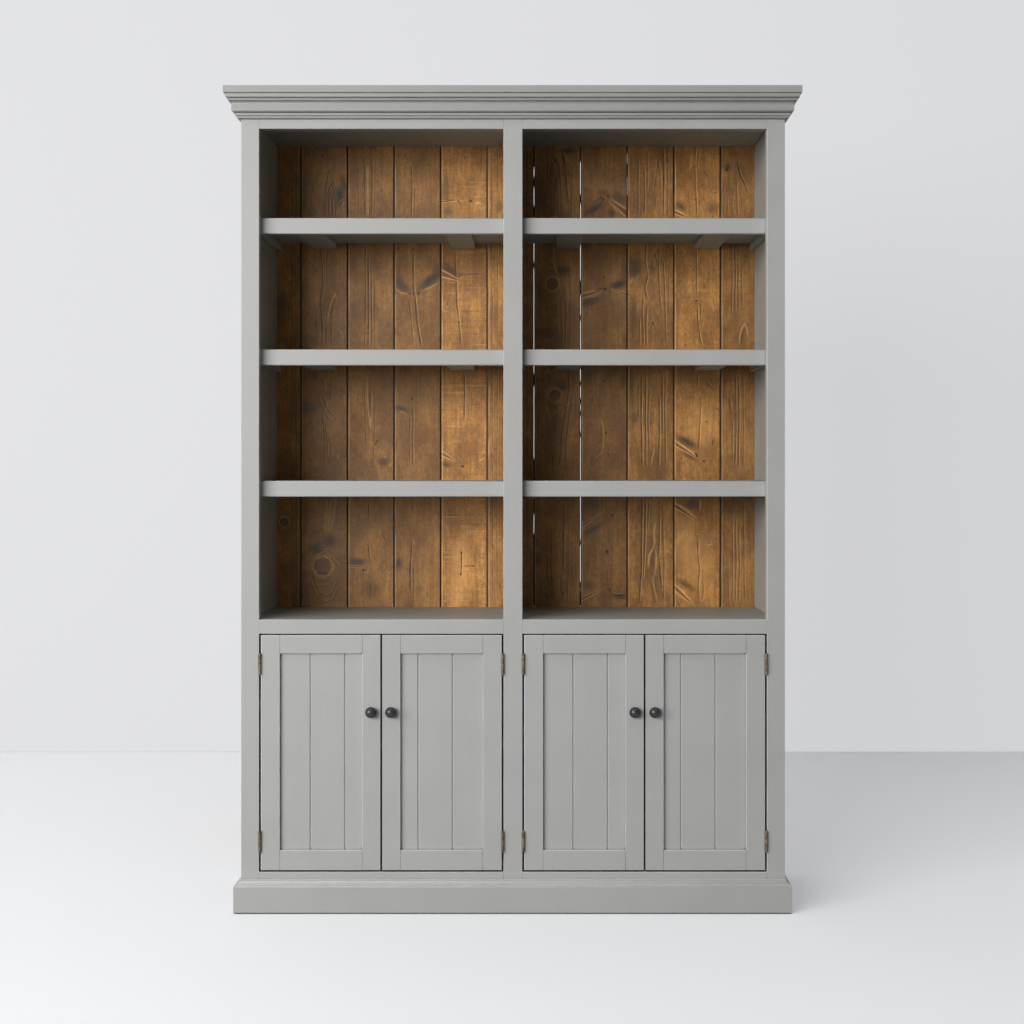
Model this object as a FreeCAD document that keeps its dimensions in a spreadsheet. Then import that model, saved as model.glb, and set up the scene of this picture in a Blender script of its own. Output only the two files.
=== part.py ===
import FreeCAD, Part
from collections import namedtuple
import math
import os
import Sketcher

# A tall painted bookcase: two bays of open shelves over two cupboards with paired framed doors.
# X runs across the front, Y from the front to the back and Z up. The origin is on the floor,
# in the middle of the whole object's footprint. Lengths are in millimetres.

SIZES = {
    # carcass and face frame
    "overall_height": 2100,
    "carcass_width": 1388,
    "carcass_depth": 356,
    "frame_thickness": 28,
    "side_stile_width": 46,
    "centre_stile_width": 48,
    "frame_top_drop": 10,
    "side_thickness": 28,
    "divider_thickness": 22,
    "board_thickness": 22,
    "housing_depth": 6,
    "housing_fit": 0.1,
    "top_rail_reveal": 24,
    "ceiling_rise": 31.5,
    "waist_height": 746,
    "waist_rail_height": 36,
    "floor_height": 102.4,
    "bottom_rail_height": 72,
    # cornice and plinth
    "cornice_height": 77,
    "cornice_projection": 38,
    "fascia_height": 17.5,
    "cornice_foot": 6,
    "cornice_bead": 3,
    "bead_fillet": 2.2,
    "lower_fillet": 5.9,
    "lower_step": 3,
    "lower_ovolo": 6,
    "ovolo_step": 2.5,
    "band_height": 14.2,
    "cavetto": 6.5,
    "upper_fillet": 3.6,
    "upper_step": 1,
    "upper_ovolo": 4.5,
    "cornice_quirk": 1.5,
    "plinth_height": 85.2,
    "plinth_floor_gap": 2.6,
    "plinth_projection": 16.4,
    "plinth_nosing": 4,
    "plinth_quirk_width": 1.4,
    "plinth_quirk_height": 2,
    "plinth_cove": 8,
    "plinth_fillet": 4,
    # back boards
    "back_thickness": 12,
    "back_set_in": 1,
    "back_rebate": 12,
    "back_board_pitch": 130,
    "back_end_board": 107,
    "back_joint_gap": 1.6,
    "back_arris": 1,
    # shelves
    "lowest_shelf_rise": 354,
    "shelf_spacing": 338,
    "shelf_thickness": 16.5,
    "shelf_end_gap": 0.4,
    "lip_height": 41,
    "lip_thickness": 20,
    "lip_round": 3,
    "batten_width": 67,
    "batten_thickness": 16.5,
    "batten_inset": 101,
    "batten_back_gap": 12,
    "cleat_thickness": 14,
    "cleat_height": 20,
    "cupboard_shelf_rise": 320,
    "cupboard_shelf_setback": 70,
    # doors
    "door_thickness": 22,
    "door_hinge_gap": 4.5,
    "door_meeting_gap": 4.4,
    "door_top_gap": 3.2,
    "door_bottom_gap": 4.4,
    "door_hinge_stile": 48.5,
    "door_meeting_stile": 46.5,
    "door_top_rail": 47,
    "door_bottom_rail": 51,
    "panel_recess": 8.5,
    "panel_thickness": 7,
    "panel_fit": 0.2,
    "panel_groove_depth": 8,
    "panel_edge_gap": 0.8,
    "panel_middle_board": 88,
    "panel_meeting_board": 45,
    "vee_width": 5,
    "vee_depth": 2.2,
    # knobs
    "knob_height": 511,
    "knob_diameter": 28.6,
    "knob_projection": 24,
    "knob_base_diameter": 17,
    "knob_base_thickness": 2.4,
    "knob_neck_diameter": 11,
    "knob_neck_length": 1.5,
    "knob_crown_height": 10.5,
    "knob_flare_radius": 9.5,
    "knob_screw_diameter": 4,
    "knob_screw_engagement": 10,
    "knob_screw_hole": 4.4,
    "knob_screw_head": 9,
    "knob_screw_head_thickness": 2.2,
    # hinges
    "hinge_height": 51,
    "hinge_inset": 73.8,
    "hinge_leaf_depth": 19,
    "hinge_leaf_thickness": 1.8,
    "knuckle_diameter": 7.4,
    "knuckle_proud": 3.6,
    "knuckle_gap": 0.3,
    "knuckle_relief": 0.6,
    "pin_diameter": 4,
    "pin_running_gap": 0.05,
    "pin_button_diameter": 6.2,
    "pin_button_height": 2,
    "pin_button_chamfer": 0.8,
    # catches
    "strike_width": 20,
    "strike_thickness": 1.2,
    "strike_lift": 3,
    "catch_gap": 0.3,
    "catch_width": 62,
    "catch_depth": 14,
    "catch_height": 18,
    "catch_round": 3,
}

KNUCKLES = 3
SHELF_ROWS = ("lower", "middle", "upper")
BAYS = {"left": -1, "right": 1}

Ring = namedtuple("Ring", "centre radius")

doc = FreeCAD.newDocument("bookcase")
sheet = doc.addObject("Spreadsheet::Sheet", "Sizes")


class Size:
    """A length that knows its number and the expression that ties it to the sheet."""

    def __init__(self, number, text):
        self.number = float(number)
        self.text = text

    def __add__(self, other):
        other = as_size(other)
        return Size(self.number + other.number, f"({self.text} + {other.text})")

    def __sub__(self, other):
        other = as_size(other)
        return Size(self.number - other.number, f"({self.text} - {other.text})")

    def __mul__(self, factor):
        factor = as_size(factor)
        return Size(self.number * factor.number, f"({self.text} * {factor.text})")

    def __truediv__(self, factor):
        factor = as_size(factor)
        return Size(self.number / factor.number, f"({self.text} / {factor.text})")

    def __radd__(self, other):
        return as_size(other) + self

    def __rsub__(self, other):
        return as_size(other) - self

    def __rmul__(self, factor):
        return as_size(factor) * self

    def __neg__(self):
        return as_size(0) - self


def as_size(value):
    return value if isinstance(value, Size) else Size(value, repr(float(value)))


def from_sheet(alias):
    """Write one driving dimension into the sheet and hand it back as a Size."""
    row = list(SIZES).index(alias) + 1
    sheet.set(f"A{row}", alias)
    sheet.set(f"B{row}", str(SIZES[alias]))
    sheet.setAlias(f"B{row}", alias)
    return Size(SIZES[alias], f"Sizes.{alias}")


S = {alias: from_sheet(alias) for alias in SIZES}
doc.recompute()

# Places that several pieces share.
HALF = S["carcass_width"] / 2
FRONT = (S["cornice_projection"] - S["carcass_depth"]) / 2
BACK = FRONT + S["carcass_depth"]
FRAME_BACK = FRONT + S["frame_thickness"]
BOARDS_BACK = BACK - S["back_set_in"]
BOARDS_FRONT = BOARDS_BACK - S["back_thickness"]
SIDE_IN = HALF - S["side_thickness"]
STILE_IN = HALF - S["side_stile_width"]
CENTRE_HALF = S["centre_stile_width"] / 2
DIVIDER_HALF = S["divider_thickness"] / 2
HOUSING = S["housing_depth"] - S["housing_fit"]
FRAME_TOP = S["overall_height"] - S["frame_top_drop"]
TOP_RAIL_BOTTOM = S["overall_height"] - S["cornice_height"] - S["top_rail_reveal"]
CEILING = TOP_RAIL_BOTTOM + S["ceiling_rise"]
TOP_BOARD_TOP = CEILING + S["board_thickness"]
WAIST_UNDERSIDE = S["waist_height"] - S["board_thickness"]
WAIST_RAIL_BOTTOM = S["waist_height"] - S["waist_rail_height"]
FLOOR_UNDERSIDE = S["floor_height"] - S["board_thickness"]
DOOR_BOTTOM = S["floor_height"] + S["door_bottom_gap"]
DOOR_TOP = WAIST_RAIL_BOTTOM - S["door_top_gap"]
DOOR_BACK = FRONT + S["door_thickness"]
DOOR_WIDTH = (STILE_IN - CENTRE_HALF - 2 * S["door_hinge_gap"] - S["door_meeting_gap"]) / 2
SHELF_TOPS = [S["waist_height"] + S["lowest_shelf_rise"] + row * S["shelf_spacing"]
              for row in range(len(SHELF_ROWS))]
CUPBOARD_SHELF_TOP = S["floor_height"] + S["cupboard_shelf_rise"]


def origin_plane(body, role):
    return next(part for part in body.Origin.OriginFeatures if part.Role == role)


def tie(thing, setting, size):
    thing.setExpression(setting, as_size(size).text)


def new_body(label):
    body = doc.addObject("PartDesign::Body", label)
    body.Label = label
    return body


def arc_centre(start, end, radius, left):
    """The centre of a short arc; with left it lies to the left of the way from start to end."""
    across = (end[0] - start[0], end[1] - start[1])
    chord = math.hypot(*across)
    lift = math.sqrt(max(radius ** 2 - chord ** 2 / 4, 0))
    turn = 1 if left else -1
    return ((start[0] + end[0]) / 2 - turn * lift * across[1] / chord,
            (start[1] + end[1]) / 2 + turn * lift * across[0] / chord)


def draw_outline(sketch, corners):
    """Draw a closed outline. A corner is (x, y), or (x, y, radius, left) where an arc starts."""
    count = len(corners)
    spots = [(as_size(corner[0]).number, as_size(corner[1]).number) for corner in corners]
    ends = []
    for index, corner in enumerate(corners):
        start = spots[index]
        end = spots[(index + 1) % count]
        if len(corner) == 2:
            line = Part.LineSegment(FreeCAD.Vector(*start, 0), FreeCAD.Vector(*end, 0))
            ends.append((sketch.addGeometry(line, False), 1, 2))
            continue
        radius = as_size(corner[2])
        centre = arc_centre(start, end, radius.number, corner[3])
        circle = Part.Circle(FreeCAD.Vector(*centre, 0), FreeCAD.Vector(0, 0, 1), radius.number)
        angles = [math.atan2(spot[1] - centre[1], spot[0] - centre[0]) for spot in (start, end)]
        first, last = angles if corner[3] else reversed(angles)
        arc = sketch.addGeometry(Part.ArcOfCircle(circle, first, last), False)
        ends.append((arc, 1, 2) if corner[3] else (arc, 2, 1))
        bound = sketch.addConstraint(Sketcher.Constraint("Radius", arc, radius.number))
        tie(sketch, f"Constraints[{bound}]", radius)
    for index, corner in enumerate(corners):
        edge, start_point, _ = ends[index]
        before, _, end_point = ends[index - 1]
        sketch.addConstraint(Sketcher.Constraint("Coincident", before, end_point, edge, start_point))
        for kind, size in (("DistanceX", corner[0]), ("DistanceY", corner[1])):
            held = Sketcher.Constraint(kind, -1, 1, edge, start_point, as_size(size).number)
            tie(sketch, f"Constraints[{sketch.addConstraint(held)}]", size)


def draw_ring(sketch, ring):
    spot = [as_size(value).number for value in ring.centre]
    circle = Part.Circle(FreeCAD.Vector(*spot, 0), FreeCAD.Vector(0, 0, 1), ring.radius.number)
    edge = sketch.addGeometry(circle, False)
    held = [("DistanceX", (-1, 1, edge, 3), ring.centre[0]),
            ("DistanceY", (-1, 1, edge, 3), ring.centre[1]),
            ("Radius", (edge,), ring.radius)]
    for kind, target, size in held:
        bound = sketch.addConstraint(Sketcher.Constraint(kind, *target, as_size(size).number))
        tie(sketch, f"Constraints[{bound}]", size)


def new_sketch(body, plane, height, loops):
    """A sketch on one of the body's own planes, lifted by height along that plane's normal."""
    sketch = body.newObject("Sketcher::SketchObject", f"{body.Name}_sketch")
    sketch.AttachmentSupport = (origin_plane(body, plane), [""])
    sketch.MapMode = "FlatFace"
    tie(sketch, "AttachmentOffset.Base.z", height)
    for loop in loops:
        draw = draw_ring if isinstance(loop, Ring) else draw_outline
        draw(sketch, loop)
    return sketch


def pad(body, plane, low, high, *loops):
    """Add a prism to the body: its loops on the plane, from low to high along the third axis."""
    height = -as_size(high) if plane == "XZ_Plane" else low
    feature = body.newObject("PartDesign::Pad", f"{body.Name}_pad")
    feature.Profile = new_sketch(body, plane, height, loops)
    tie(feature, "Length", as_size(high) - low)


def pocket(body, plane, low, high, *loops):
    """Cut a prism out of the body, from low to high along the axis across the plane."""
    height = -as_size(low) if plane == "XZ_Plane" else high
    feature = body.newObject("PartDesign::Pocket", f"{body.Name}_pocket")
    feature.Profile = new_sketch(body, plane, height, loops)
    tie(feature, "Length", as_size(high) - low)


def revolve(body, plane, height, axis_x, axis_y, outline):
    """Turn an outline about the upright line of a sketch whose origin is at axis_x, axis_y."""
    sketch = new_sketch(body, plane, height, [outline])
    tie(sketch, "AttachmentOffset.Base.x", axis_x)
    tie(sketch, "AttachmentOffset.Base.y", axis_y)
    feature = body.newObject("PartDesign::Revolution", f"{body.Name}_turning")
    feature.Profile = sketch
    feature.ReferenceAxis = (sketch, ["V_Axis"])
    feature.Angle = 360


def rectangle(low_x, high_x, low_y, high_y):
    return [(low_x, low_y), (high_x, low_y), (high_x, high_y), (low_x, high_y)]


def span(side, near, far):
    """Low and high ends of a stretch from near to far, measured outwards on one side."""
    return (near, far) if side > 0 else (-as_size(far), -as_size(near))


def group(label, bodies):
    """Like pieces that share one node, kept as separate solids."""
    node = doc.addObject("Part::Compound", label)
    node.Label = label
    node.Links = bodies
    return node


def prism(label, plane, low, high, *loops):
    body = new_body(label)
    pad(body, plane, low, high, *loops)
    return body


def side_panel(name, side):
    """A full-height side with a rebate for the back boards and housings for three boards."""
    rebate_wall = SIDE_IN + S["back_rebate"]
    outline = [(side * HALF, FRAME_BACK), (side * HALF, BACK), (side * rebate_wall, BACK),
               (side * rebate_wall, BOARDS_FRONT), (side * SIDE_IN, BOARDS_FRONT),
               (side * SIDE_IN, FRAME_BACK)]
    body = prism(f"side_panel_{name}", "XY_Plane", 0, FRAME_TOP, outline)
    low, high = span(side, SIDE_IN, SIDE_IN + S["housing_depth"])
    for underside in (FLOOR_UNDERSIDE, WAIST_UNDERSIDE, CEILING):
        slot = rectangle(FRAME_BACK, BOARDS_FRONT, underside, underside + S["board_thickness"])
        pocket(body, "YZ_Plane", low, high, slot)
    return body


def centre_divider():
    """The upright between the bays, housed in the boards at its ends and for the waist boards."""
    outline = rectangle(-DIVIDER_HALF, DIVIDER_HALF, FRAME_BACK, BOARDS_FRONT)
    foot = S["floor_height"] - HOUSING
    body = prism("centre_divider", "XY_Plane", foot, CEILING + HOUSING, outline)
    slot = rectangle(FRAME_BACK, BOARDS_FRONT, WAIST_UNDERSIDE, S["waist_height"])
    for side in BAYS.values():
        low, high = span(side, DIVIDER_HALF - S["housing_depth"], DIVIDER_HALF)
        pocket(body, "YZ_Plane", low, high, slot)
    return body


def through_board(label, underside, slot_low):
    """A board across both bays, housed in the sides, with a slot for the divider's end."""
    end = SIDE_IN + HOUSING
    outline = rectangle(FRAME_BACK, BOARDS_FRONT, underside, underside + S["board_thickness"])
    body = prism(label, "YZ_Plane", -end, end, outline)
    slot = rectangle(-DIVIDER_HALF, DIVIDER_HALF, FRAME_BACK, BOARDS_FRONT)
    pocket(body, "XY_Plane", slot_low, slot_low + S["housing_depth"], slot)
    return body


def waist_board(name, side):
    outline = rectangle(FRAME_BACK, BOARDS_FRONT, WAIST_UNDERSIDE, S["waist_height"])
    low, high = span(side, DIVIDER_HALF - HOUSING, SIDE_IN + HOUSING)
    return prism(f"waist_board_{name}", "YZ_Plane", low, high, outline)


def carcass_pieces():
    pieces = [side_panel(name, side) for name, side in BAYS.items()]
    pieces.append(centre_divider())
    pieces.append(through_board("top_board", CEILING, CEILING))
    floor_slot = S["floor_height"] - S["housing_depth"]
    pieces.append(through_board("cupboard_floor", FLOOR_UNDERSIDE, floor_slot))
    waist_boards = [waist_board(name, side) for name, side in BAYS.items()]
    pieces.append(group("waist_boards", waist_boards))
    return pieces


def face_frame_pieces():
    """Three stiles the full height of the case, and three rails between them in each bay."""
    stiles = {"left": (-HALF, -STILE_IN), "centre": (-CENTRE_HALF, CENTRE_HALF),
              "right": (STILE_IN, HALF)}
    pieces = [prism(f"face_stile_{name}", "XY_Plane", 0, FRAME_TOP,
                    rectangle(low, high, FRONT, FRAME_BACK))
              for name, (low, high) in stiles.items()]
    rails = {"top": (TOP_RAIL_BOTTOM, FRAME_TOP),
             "waist": (WAIST_RAIL_BOTTOM, S["waist_height"]),
             "bottom": (S["floor_height"] - S["bottom_rail_height"], S["floor_height"])}
    for rail, (bottom, top) in rails.items():
        for name, side in BAYS.items():
            low, high = span(side, CENTRE_HALF, STILE_IN)
            outline = rectangle(FRONT, FRAME_BACK, bottom, top)
            pieces.append(prism(f"face_rail_{rail}_{name}", "YZ_Plane", low, high, outline))
    return pieces


def quirk(corners, reach, height, step):
    """Cut a square groove above a member; the next one starts over it, a step further out."""
    inside = reach - S["cornice_quirk"]
    above = height + S["cornice_quirk"]
    corners += [(reach, height), (inside, height), (inside, above)]
    return reach + step, above


def cornice_profile():
    """Corners (reach, height) from the wall out and up, with a quirk over each member."""
    reach = S["cornice_foot"]
    height = S["overall_height"] - S["cornice_height"]
    corners = [(0, height), (reach, height, S["cornice_bead"], True)]
    reach, height = reach + S["cornice_bead"], height + S["cornice_bead"]
    corners.append((reach, height))
    reach, height = quirk(corners, reach, height + S["bead_fillet"], S["lower_step"])
    corners.append((reach, height))
    reach, height = quirk(corners, reach, height + S["lower_fillet"], S["ovolo_step"])
    corners.append((reach, height, S["lower_ovolo"], True))
    reach, height = reach + S["lower_ovolo"], height + S["lower_ovolo"]
    corners.append((reach, height))
    height = height + S["band_height"]
    corners.append((reach, height, S["cavetto"], False))
    reach, height = reach + S["cavetto"], height + S["cavetto"]
    reach, height = quirk(corners, reach, height, S["upper_step"])
    corners.append((reach, height))
    reach, height = quirk(corners, reach, height + S["upper_fillet"], S["upper_step"])
    corners.append((reach, height, S["upper_ovolo"], True))
    reach, height = reach + S["upper_ovolo"], height + S["upper_ovolo"]
    corners.append((reach, height))
    fascia_bottom = S["overall_height"] - S["fascia_height"]
    reach, height = quirk(corners, reach, fascia_bottom - S["cornice_quirk"], 0)
    projection = S["cornice_projection"]
    corners += [(projection, height), (projection, S["overall_height"]), (0, S["overall_height"])]
    return corners


def plinth_profile():
    """Corners (reach, height) of a board with a rounded nosing, a quirk and a cove on its top."""
    reach = S["plinth_projection"]
    face_top = (S["plinth_height"] - S["plinth_fillet"] - S["plinth_cove"]
                - S["plinth_quirk_height"] - S["plinth_nosing"])
    foot = S["plinth_floor_gap"]
    corners = [(0, foot), (reach, foot), (reach, face_top, S["plinth_nosing"], True)]
    reach, height = reach - S["plinth_nosing"], face_top + S["plinth_nosing"]
    corners.append((reach, height))
    reach = reach - S["plinth_quirk_width"]
    corners.append((reach, height))
    height = height + S["plinth_quirk_height"]
    corners.append((reach, height, S["plinth_cove"], False))
    reach, height = reach - S["plinth_cove"], height + S["plinth_cove"]
    corners += [(reach, height), (reach, S["plinth_height"]), (0, S["plinth_height"])]
    return corners


def stand_out(profile, wall, way):
    """Set a profile's reach off from a wall, along +1 or -1; turning it over flips its arcs."""
    return [(wall + way * corner[0], corner[1]) if len(corner) == 2 else
            (wall + way * corner[0], corner[1], corner[2], corner[3] == (way > 0))
            for corner in profile]


def mitred_moulding(name, profile, reach):
    """A moulding round the front and both sides, its three lengths mitred at the front corners."""
    out_x = HALF + reach
    out_y = FRONT - reach
    front = prism(f"{name}_front", "YZ_Plane", -out_x, out_x, stand_out(profile, FRONT, -1))
    pieces = [front]
    top = S["overall_height"] + 1
    for label, side in BAYS.items():
        inside = [(side * HALF, FRONT), (side * (out_x + reach), FRONT),
                  (side * (out_x + reach), out_y - reach)]
        pocket(front, "XY_Plane", 0, top, inside)
        outside = [(side * HALF, FRONT), (side * (out_x + reach), out_y - reach),
                   (side * HALF, out_y - reach)]
        end = prism(f"{name}_return_{label}", "XZ_Plane", out_y, BACK,
                    stand_out(profile, side * HALF, side))
        pocket(end, "XY_Plane", 0, top, outside)
        pieces.append(end)
    return pieces


def back_board(number, low, high):
    """One upright board, its front arrises eased."""
    ease = S["back_arris"]
    outline = [(low + ease, BOARDS_FRONT), (high - ease, BOARDS_FRONT),
               (high, BOARDS_FRONT + ease), (high, BOARDS_BACK), (low, BOARDS_BACK),
               (low, BOARDS_FRONT + ease)]
    return prism(f"back_board_{number:02d}", "XY_Plane", FLOOR_UNDERSIDE, TOP_BOARD_TOP, outline)


def back_pieces():
    """Boards laid from the right-hand rebate, the last one ripped to what is left of the width."""
    wall = SIDE_IN + S["back_rebate"] - S["housing_fit"]
    gap = S["back_joint_gap"]
    low = wall - S["back_end_board"]
    boards = [back_board(1, low + gap / 2, wall)]
    while (low - S["back_board_pitch"]).number > -wall.number:
        high = low
        low = low - S["back_board_pitch"]
        boards.append(back_board(len(boards) + 1, low + gap / 2, high - gap / 2))
    boards.append(back_board(len(boards) + 1, -wall, low - gap / 2))
    middle = len(boards) // 2
    return [group("back_boards_right", boards[:middle]), group("back_boards_left", boards[middle:])]


def shelf_pieces():
    """Six fixed shelves with a deep front lip, battens underneath and cleats at their ends."""
    shelves, lips, battens, cleats = [], [], [], []
    lip_back = FRAME_BACK + S["lip_thickness"]
    near = DIVIDER_HALF + S["shelf_end_gap"]
    far = SIDE_IN - S["shelf_end_gap"]
    for row, top in zip(SHELF_ROWS, SHELF_TOPS):
        underside = top - S["shelf_thickness"]
        for name, side in BAYS.items():
            low, high = span(side, near, far)
            board = rectangle(lip_back, BOARDS_FRONT, underside, top)
            shelves.append(prism(f"shelf_{name}_{row}", "YZ_Plane", low, high, board))
            ease = S["lip_round"]
            foot = top - S["lip_height"]
            lip = [(FRAME_BACK, foot + ease, ease, True), (FRAME_BACK + ease, foot),
                   (lip_back, foot), (lip_back, top), (FRAME_BACK + ease, top, ease, True),
                   (FRAME_BACK, top - ease)]
            lips.append(prism(f"lip_{name}_{row}", "YZ_Plane", low, high, lip))
            inset = S["batten_inset"]
            width = S["batten_width"]
            batten_back = BOARDS_FRONT - S["batten_back_gap"]
            for start in (near + inset, far - inset - width):
                low, high = span(side, start, start + width)
                flat = rectangle(low, high, underside - S["batten_thickness"], underside)
                battens.append(prism(f"batten_{name}_{row}", "XZ_Plane", lip_back, batten_back, flat))
            cleats += end_cleats(f"cleat_{name}_{row}", side, underside, lip_back)
    groups = {"shelf_lips": lips, "shelf_battens": battens}
    cupboard_shelves = []
    for name, side in BAYS.items():
        low, high = span(side, near, far)
        top = CUPBOARD_SHELF_TOP
        start = FRONT + S["cupboard_shelf_setback"]
        board = rectangle(start, BOARDS_FRONT, top - S["shelf_thickness"], top)
        cupboard_shelves.append(prism(f"cupboard_shelf_{name}", "YZ_Plane", low, high, board))
        cleats += end_cleats(f"cupboard_cleat_{name}", side, top - S["shelf_thickness"], start)
    groups["cupboard_shelves"] = cupboard_shelves
    groups["shelf_cleats"] = cleats
    return shelves + [group(label, bodies) for label, bodies in groups.items()]


def end_cleats(label, side, top, start):
    """Two strips that carry a shelf's ends, one on the divider and one on the side panel."""
    bodies = []
    thick = S["cleat_thickness"]
    for wall in (DIVIDER_HALF, SIDE_IN - thick):
        low, high = span(side, wall, wall + thick)
        strip = rectangle(low, high, top - S["cleat_height"], top)
        bodies.append(prism(label, "XZ_Plane", start, BOARDS_FRONT, strip))
    return bodies


def door_places():
    """Each door's hinge edge and the way it reaches from there, left to right."""
    outer = STILE_IN - S["door_hinge_gap"]
    inner = CENTRE_HALF + S["door_hinge_gap"]
    return [(-outer, 1), (-inner, -1), (inner, 1), (outer, -1)]


def door_pieces(number, hinge_edge, way):
    """A framed door: grooved stiles and rails round a board with two vee grooves."""
    name = f"door_{number}"

    def across(reach):
        return hinge_edge + way * reach

    def stretch(near, far):
        return (across(near), across(far)) if way > 0 else (across(far), across(near))

    def across_outline(corners):
        return [(across(reach), depth) for reach, depth in corners]

    hinge_width, meeting_width = S["door_hinge_stile"], S["door_meeting_stile"]
    meeting = DOOR_WIDTH - meeting_width
    groove = S["panel_groove_depth"]
    panel_front = FRONT + S["panel_recess"]
    panel_back = panel_front + S["panel_thickness"]
    groove_front = panel_front - S["panel_fit"]
    groove_back = panel_back + S["panel_fit"]
    opening_bottom = DOOR_BOTTOM + S["door_bottom_rail"]
    opening_top = DOOR_TOP - S["door_top_rail"]

    def stile(label, edge, inner, inward):
        floor = inner - inward * groove
        return prism(label, "XY_Plane", DOOR_BOTTOM, DOOR_TOP, across_outline([
            (edge, FRONT), (inner, FRONT), (inner, groove_front), (floor, groove_front),
            (floor, groove_back), (inner, groove_back), (inner, DOOR_BACK), (edge, DOOR_BACK)]))

    hinge_stile = stile(f"{name}_hinge_stile", as_size(0), hinge_width, 1)
    meeting_stile = stile(f"{name}_meeting_stile", DOOR_WIDTH, meeting, -1)
    knob_x = across(DOOR_WIDTH - meeting_width / 2)
    hole = Ring((knob_x, S["knob_height"]), S["knob_screw_hole"] / 2)
    pocket(meeting_stile, "XZ_Plane", FRONT, DOOR_BACK, hole)

    rail_low, rail_high = stretch(hinge_width, meeting)
    reach = groove - S["panel_edge_gap"]

    def rail(label, inner, outer, inward):
        floor = inner - inward * groove
        body = prism(label, "YZ_Plane", rail_low, rail_high, [
            (FRONT, inner), (groove_front, inner), (groove_front, floor), (groove_back, floor),
            (groove_back, inner), (DOOR_BACK, inner), (DOOR_BACK, outer), (FRONT, outer)])
        bottom, top = (outer, floor) if inward > 0 else (floor, outer)
        pad(body, "YZ_Plane", rail_low - reach, rail_high + reach,
            rectangle(panel_front, panel_back, bottom, top))
        return body

    top_rail = rail(f"{name}_top_rail", opening_top, DOOR_TOP, -1)
    bottom_rail = rail(f"{name}_bottom_rail", opening_bottom, DOOR_BOTTOM, 1)

    meeting_vee = meeting - S["panel_meeting_board"]
    hinge_vee = meeting_vee - S["panel_middle_board"]
    half_vee = S["vee_width"] / 2
    corners = [(hinge_width - reach, panel_front)]
    for vee in (hinge_vee, meeting_vee):
        corners += [(vee - half_vee, panel_front), (vee, panel_front + S["vee_depth"]),
                    (vee + half_vee, panel_front)]
    corners += [(meeting + reach, panel_front), (meeting + reach, panel_back),
                (hinge_width - reach, panel_back)]
    panel = prism(f"{name}_panel", "XY_Plane", opening_bottom - reach, opening_top + reach,
                  across_outline(corners))

    strike_low, strike_high = stretch(DOOR_WIDTH - S["strike_width"] - S["strike_lift"],
                                      DOOR_WIDTH - S["strike_lift"])
    strike_bottom = DOOR_BOTTOM + S["strike_lift"]
    strike = prism(f"{name}_strike_plate", "YZ_Plane", strike_low, strike_high,
                   rectangle(DOOR_BACK, DOOR_BACK + S["strike_thickness"], strike_bottom,
                             strike_bottom + S["strike_width"]))
    return [group(f"{name}_stiles", [hinge_stile, meeting_stile]),
            group(f"{name}_rails", [top_rail, bottom_rail]), panel,
            group(f"{name}_knob", [turned_knob(name, knob_x), knob_screw(name, knob_x)]),
            strike]


def turned_knob(name, knob_x):
    """A round knob on a slim neck, its crown part of a ball, drilled from behind for its screw."""
    body = new_body(f"{name}_turned_knob")
    head = S["knob_diameter"] / 2
    neck = S["knob_neck_diameter"] / 2
    base = S["knob_base_diameter"] / 2
    hole = S["knob_screw_diameter"] / 2 + S["pin_running_gap"]
    crown = S["knob_crown_height"]
    crown_radius = (head * head + crown * crown) / (2 * crown)
    base_top = -S["knob_base_thickness"]
    neck_start = base_top - (base - neck)
    widest = crown - S["knob_projection"]
    outline = [(hole, 0), (base, 0), (base, base_top), (neck, neck_start),
               (neck, neck_start - S["knob_neck_length"], S["knob_flare_radius"], False),
               (head, widest, crown_radius, False), (0, -S["knob_projection"]),
               (0, -S["knob_screw_engagement"]), (hole, -S["knob_screw_engagement"])]
    revolve(body, "XY_Plane", S["knob_height"], knob_x, FRONT, outline)
    return body


def knob_screw(name, knob_x):
    """The screw that holds the knob, its head on the back of the stile."""
    body = new_body(f"{name}_knob_screw")
    shank = S["knob_screw_diameter"] / 2
    head = S["knob_screw_head"] / 2
    seat = S["door_thickness"]
    tip = -S["knob_screw_engagement"] + S["knob_screw_head_thickness"] / 4
    outline = [(0, tip), (shank, tip), (shank, seat), (head, seat),
               (head, seat + S["knob_screw_head_thickness"]),
               (0, seat + S["knob_screw_head_thickness"])]
    revolve(body, "XY_Plane", S["knob_height"], knob_x, FRONT, outline)
    return body


def hinge_axis(hinge_edge, way):
    """Where a door's hinge pins stand: in the middle of its side gap, in front of its face."""
    return hinge_edge - way * S["door_hinge_gap"] / 2, FRONT - S["knuckle_proud"]


def hinge_leaf(label, axis, way, bottom, knuckles):
    """A flat leaf against an edge, wrapped round the pin at its own knuckles only."""
    body = new_body(label)
    pin_x, pin_y = axis
    outer = S["knuckle_diameter"] / 2
    bore = S["pin_diameter"] / 2 + S["pin_running_gap"]
    edge = pin_x + way * S["door_hinge_gap"] / 2
    inner = edge - way * S["hinge_leaf_thickness"]
    sides = (inner, edge) if way > 0 else (edge, inner)
    plate = rectangle(*sides, pin_y + outer + S["knuckle_relief"], pin_y + S["hinge_leaf_depth"])
    pad(body, "XY_Plane", bottom, bottom + S["hinge_height"], plate)
    pitch = S["hinge_height"] / KNUCKLES
    for knuckle in knuckles:
        low = bottom + knuckle * pitch + S["knuckle_gap"] / 2
        high = low + pitch - S["knuckle_gap"]
        root = pin_y + outer + S["knuckle_relief"]
        neck = rectangle(*sides, pin_y + (outer + 2 * bore) / 3, root)
        pad(body, "XY_Plane", low, high, Ring(axis, outer), Ring(axis, bore))
        pad(body, "XY_Plane", low, high, neck)
    return body


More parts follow.
